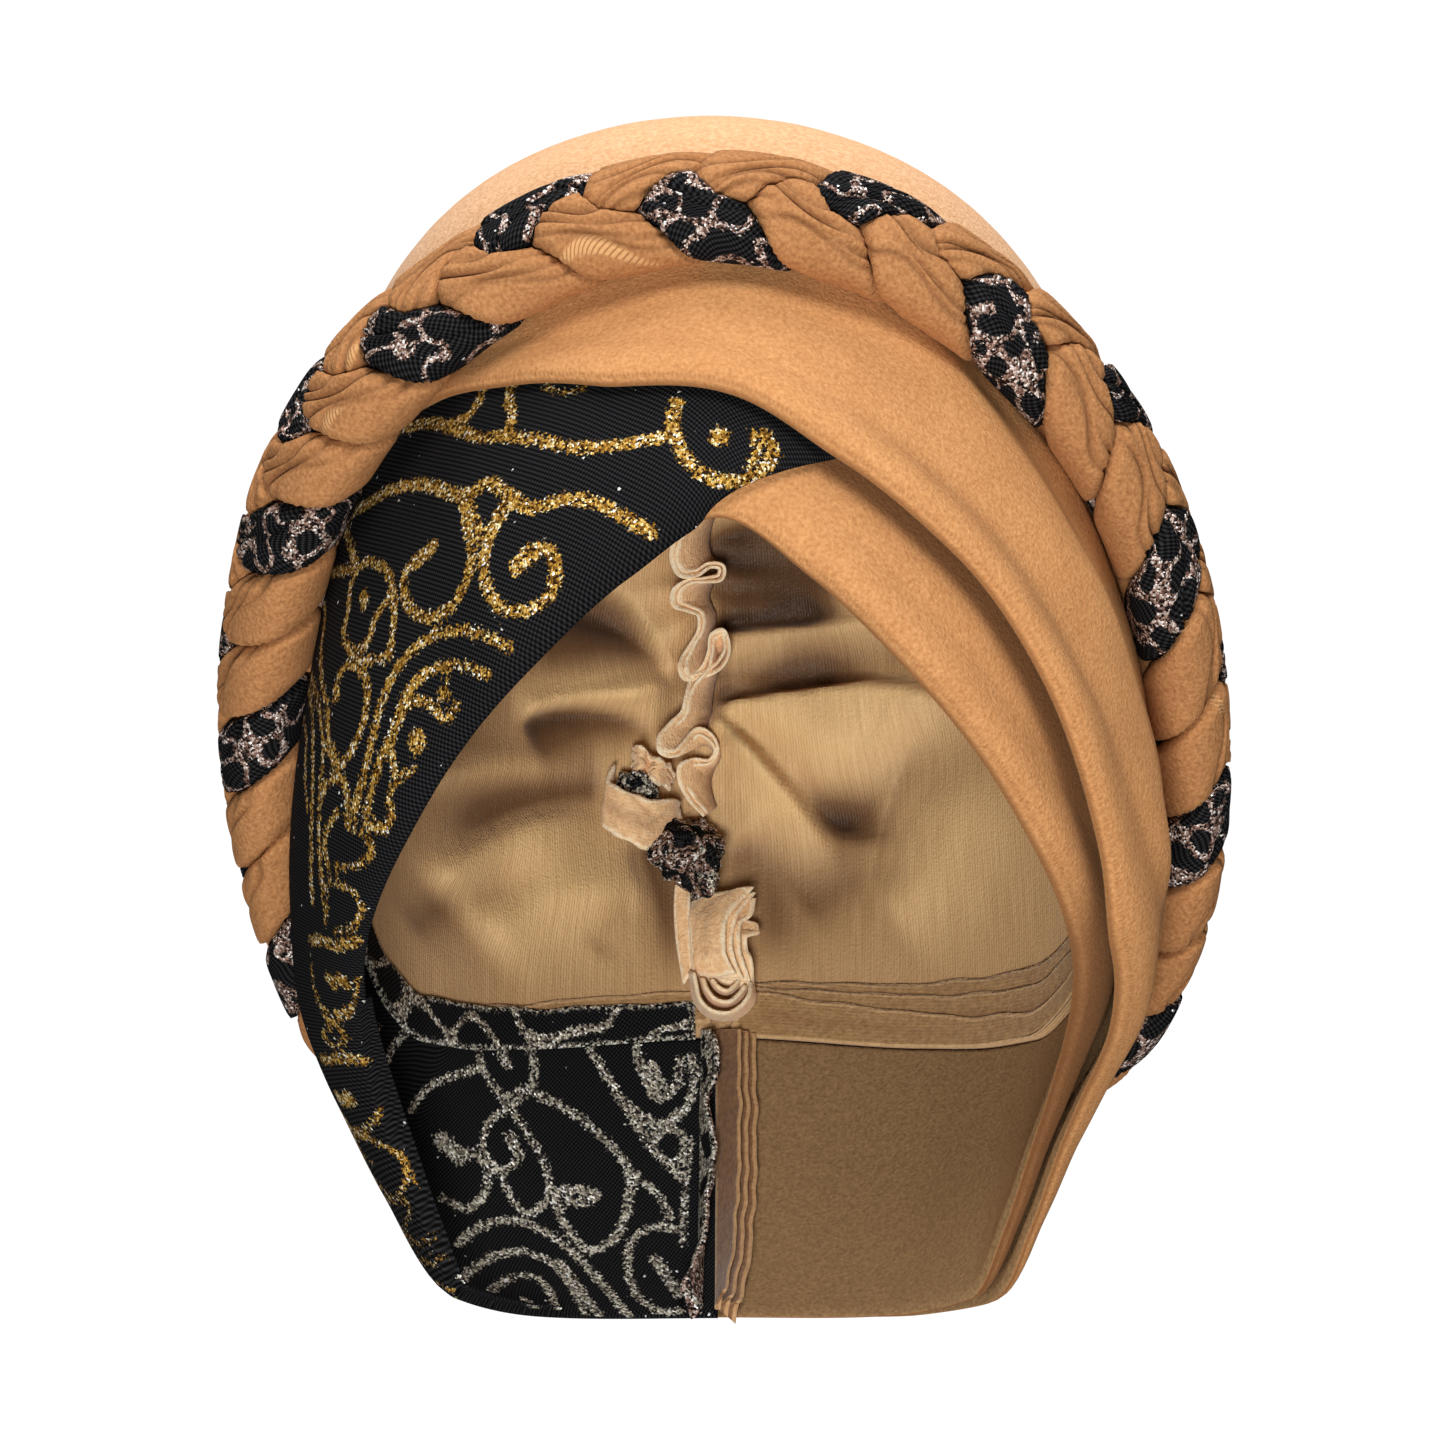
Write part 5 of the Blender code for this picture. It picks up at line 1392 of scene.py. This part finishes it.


# Threads of the metal, from the darkest to the brightest: the near-white top stops are painted glints
GOLD = ((0.0, 46, 28, 12), (0.22, 122, 84, 30), (0.44, 178, 132, 52), (0.68, 214, 174, 92),
        (0.86, 250, 232, 178), (0.95, 255, 252, 240))
SILVER = ((0.0, 48, 44, 42), (0.24, 120, 112, 102), (0.46, 176, 168, 150), (0.68, 218, 212, 194),
          (0.84, 250, 246, 232), (0.94, 255, 255, 252))
COPPER = ((0.0, 34, 26, 24), (0.28, 112, 84, 72), (0.52, 164, 134, 120), (0.72, 204, 184, 172),
          (0.88, 236, 222, 214), (0.95, 255, 252, 248))


def lurex(name, outer_metal, inner_metal, pace=None, reach=None):
    """Black twill knit with metallic thread: along charted lines or, with a pace, along wandering ones."""
    finish = Finish(name, 0.8, specular=0.04)
    along, up, run = finish.cloth()
    fringe = (finish.noise(FRINGE_SCALE) - 0.5) * FRINGE_WIDTH
    value, middle = finish.cells(THREAD_SCALE)
    if pace is None:
        distance = finish.attribute("scroll")
    else:
        distance = (finish.maths("ABSOLUTE", finish.noise(pace, 0.0) - 0.5) - reach) * LOOSE_LINE_WIDTH
    mask = ((distance + fringe) * -3.0).clamped()
    mask = finish.maths("MAXIMUM", mask, finish.maths("GREATER_THAN", value, STRAY_THREADS))
    if pace is not None:
        threads = finish.maths("GREATER_THAN", value, BORDER_THREADS)
        border = ((BORDER_WIDTH - (run + fringe)) * threads).clamped()
        mask = finish.maths("MAXIMUM", mask, border)
    # Each thread takes a colour of its metal; the brightest threads are painted glints.
    metal = finish.mix(finish.attribute("outside"), finish.colours(value, *inner_metal, steps=True),
                       finish.colours(value, *outer_metal, steps=True))
    twill = (along + up * 0.8).waves(TWILL_PITCH)
    weave = twill * 0.75 + (along * 0.75 - up).waves(CROSSING_PITCH) * 0.55
    ground = finish.colours(weave * 0.33 + 0.5, (0.0, 2, 2, 3), (0.35, 8, 8, 9), (0.9, 46, 46, 48))
    finish.put("Base Color", finish.mix(mask, ground, metal))
    finish.put("Metallic", mask * 0.35)
    finish.put("Roughness", 0.78 - mask * 0.4)
    finish.bump(weave * 0.25 + mask - mask * middle * 1.2, RELIEF)
    return finish.material


def plain_white(name, value):
    finish = Finish(name, 0.9)
    lighter = value + 0.02
    grain = finish.tints(finish.noise(9.0), (0.3, value, value, value), (0.7, lighter, lighter, lighter))
    finish.put("Base Color", grain)
    return finish.material


def lamp(name, place, size, power):
    """A soft square light that faces the cap."""
    data = bpy.data.lights.new(name, "AREA")
    data.size, data.energy = size, power
    light = bpy.data.objects.new(name, data)
    bpy.context.scene.collection.objects.link(light)
    light.location = place
    light.rotation_euler = (CAMERA_TARGET - Vector(place)).to_track_quat("-Z", "Y").to_euler()


def background(nodes, strength):
    """A plain white surround."""
    shade = nodes.new("ShaderNodeBackground")
    shade.inputs["Color"].default_value = (1.0, 1.0, 1.0, 1.0)
    shade.inputs["Strength"].default_value = strength
    return shade.outputs[0]


def studio():
    """A plain pale floor below the held-up cap, a white surround and soft lights."""
    mesh = bpy.data.meshes.new("floor")
    reach = FLOOR_HALF_SIDE
    corners = ((-reach, -reach), (reach, -reach), (reach, reach), (-reach, reach))
    mesh.from_pydata([(x, y, FLOOR_HEIGHT) for x, y in corners], [], [(0, 1, 2, 3)])
    mesh.materials.append(plain_white("pale_floor", 0.86))
    floor = bpy.data.objects.new("floor", mesh)
    bpy.context.scene.collection.objects.link(floor)
    world = bpy.data.worlds.new("studio")
    world.use_nodes = True
    bpy.context.scene.world = world
    nodes, links = world.node_tree.nodes, world.node_tree.links
    either = nodes.new("ShaderNodeMixShader")
    seen_directly = nodes.new("ShaderNodeLightPath").outputs["Is Camera Ray"]
    shades = (seen_directly, background(nodes, WORLD_STRENGTH), background(nodes, BACKDROP_STRENGTH))
    for value, socket in zip(shades, either.inputs):
        links.new(value, socket)
    links.new(either.outputs[0], nodes["World Output"].inputs["Surface"])
    for row in LAMPS:
        lamp(*row)
    bpy.context.scene.view_settings.view_transform = "Standard"


def main():
    view = PhotoView()
    tan = brushed("tan_brushed_cloth_detail", (182, 124, 74), (201, 143, 90), (216, 159, 105))
    braid_tan = brushed("tan_strand_cloth_detail", (150, 100, 58), (176, 122, 76), (194, 140, 91))
    # The nape's copy of the cut jersey is darker than the others, partly as painted shade of the shaded nape.
    edge, seam_edge, nape_edge = (cut_edges(name, face, pale) for name, face, pale in (
        ("tan_cloth_edge_detail", ((234, 186, 134), (250, 208, 158)), ((250, 214, 166), (255, 236, 202))),
        ("tan_seam_edge_detail", ((150, 113, 72), (172, 134, 90)), ((190, 150, 104), (208, 170, 122))),
        ("tan_nape_edge_detail", ((112, 76, 46), (138, 98, 62)), ((172, 130, 88), (192, 150, 104)))))
    black = lurex("black_lurex_charted", GOLD, SILVER)
    braid_black = lurex("black_lurex_strand", COPPER, COPPER, 150.0, 0.075)
    loose = lurex("black_lurex_loose", COPPER, SILVER, 150.0, 0.12)
    seam_black = lurex("black_lurex_seam", SILVER, SILVER, 80.0, 0.05)
    studio()
    crown(satin_and_brushed(), view)
    lurex_band(black, view)
    wrap("under_wrap", UNDER_WRAP, tan, no_folds, under_creases)
    wrap("upper_wrap", UPPER_WRAP, tan, upper_folds, upper_creases, ridged=True)
    phase = math.radians(LUREX_LOBE_PHASE)
    strand("strand_lurex", phase, braid_black, "black_lurex_cloth", 1)
    strand("strand_tan_a", phase + FULL_TURN / 3, braid_tan, "tan_brushed_cloth", 2)
    strand("strand_tan_b", phase - FULL_TURN / 3, braid_tan, "tan_brushed_cloth", 3)
    ruffle(edge, view)
    tabs(edge, loose, view)
    band_seams(seam_edge, seam_black)
    nape_seams(nape_edge, loose)


main()
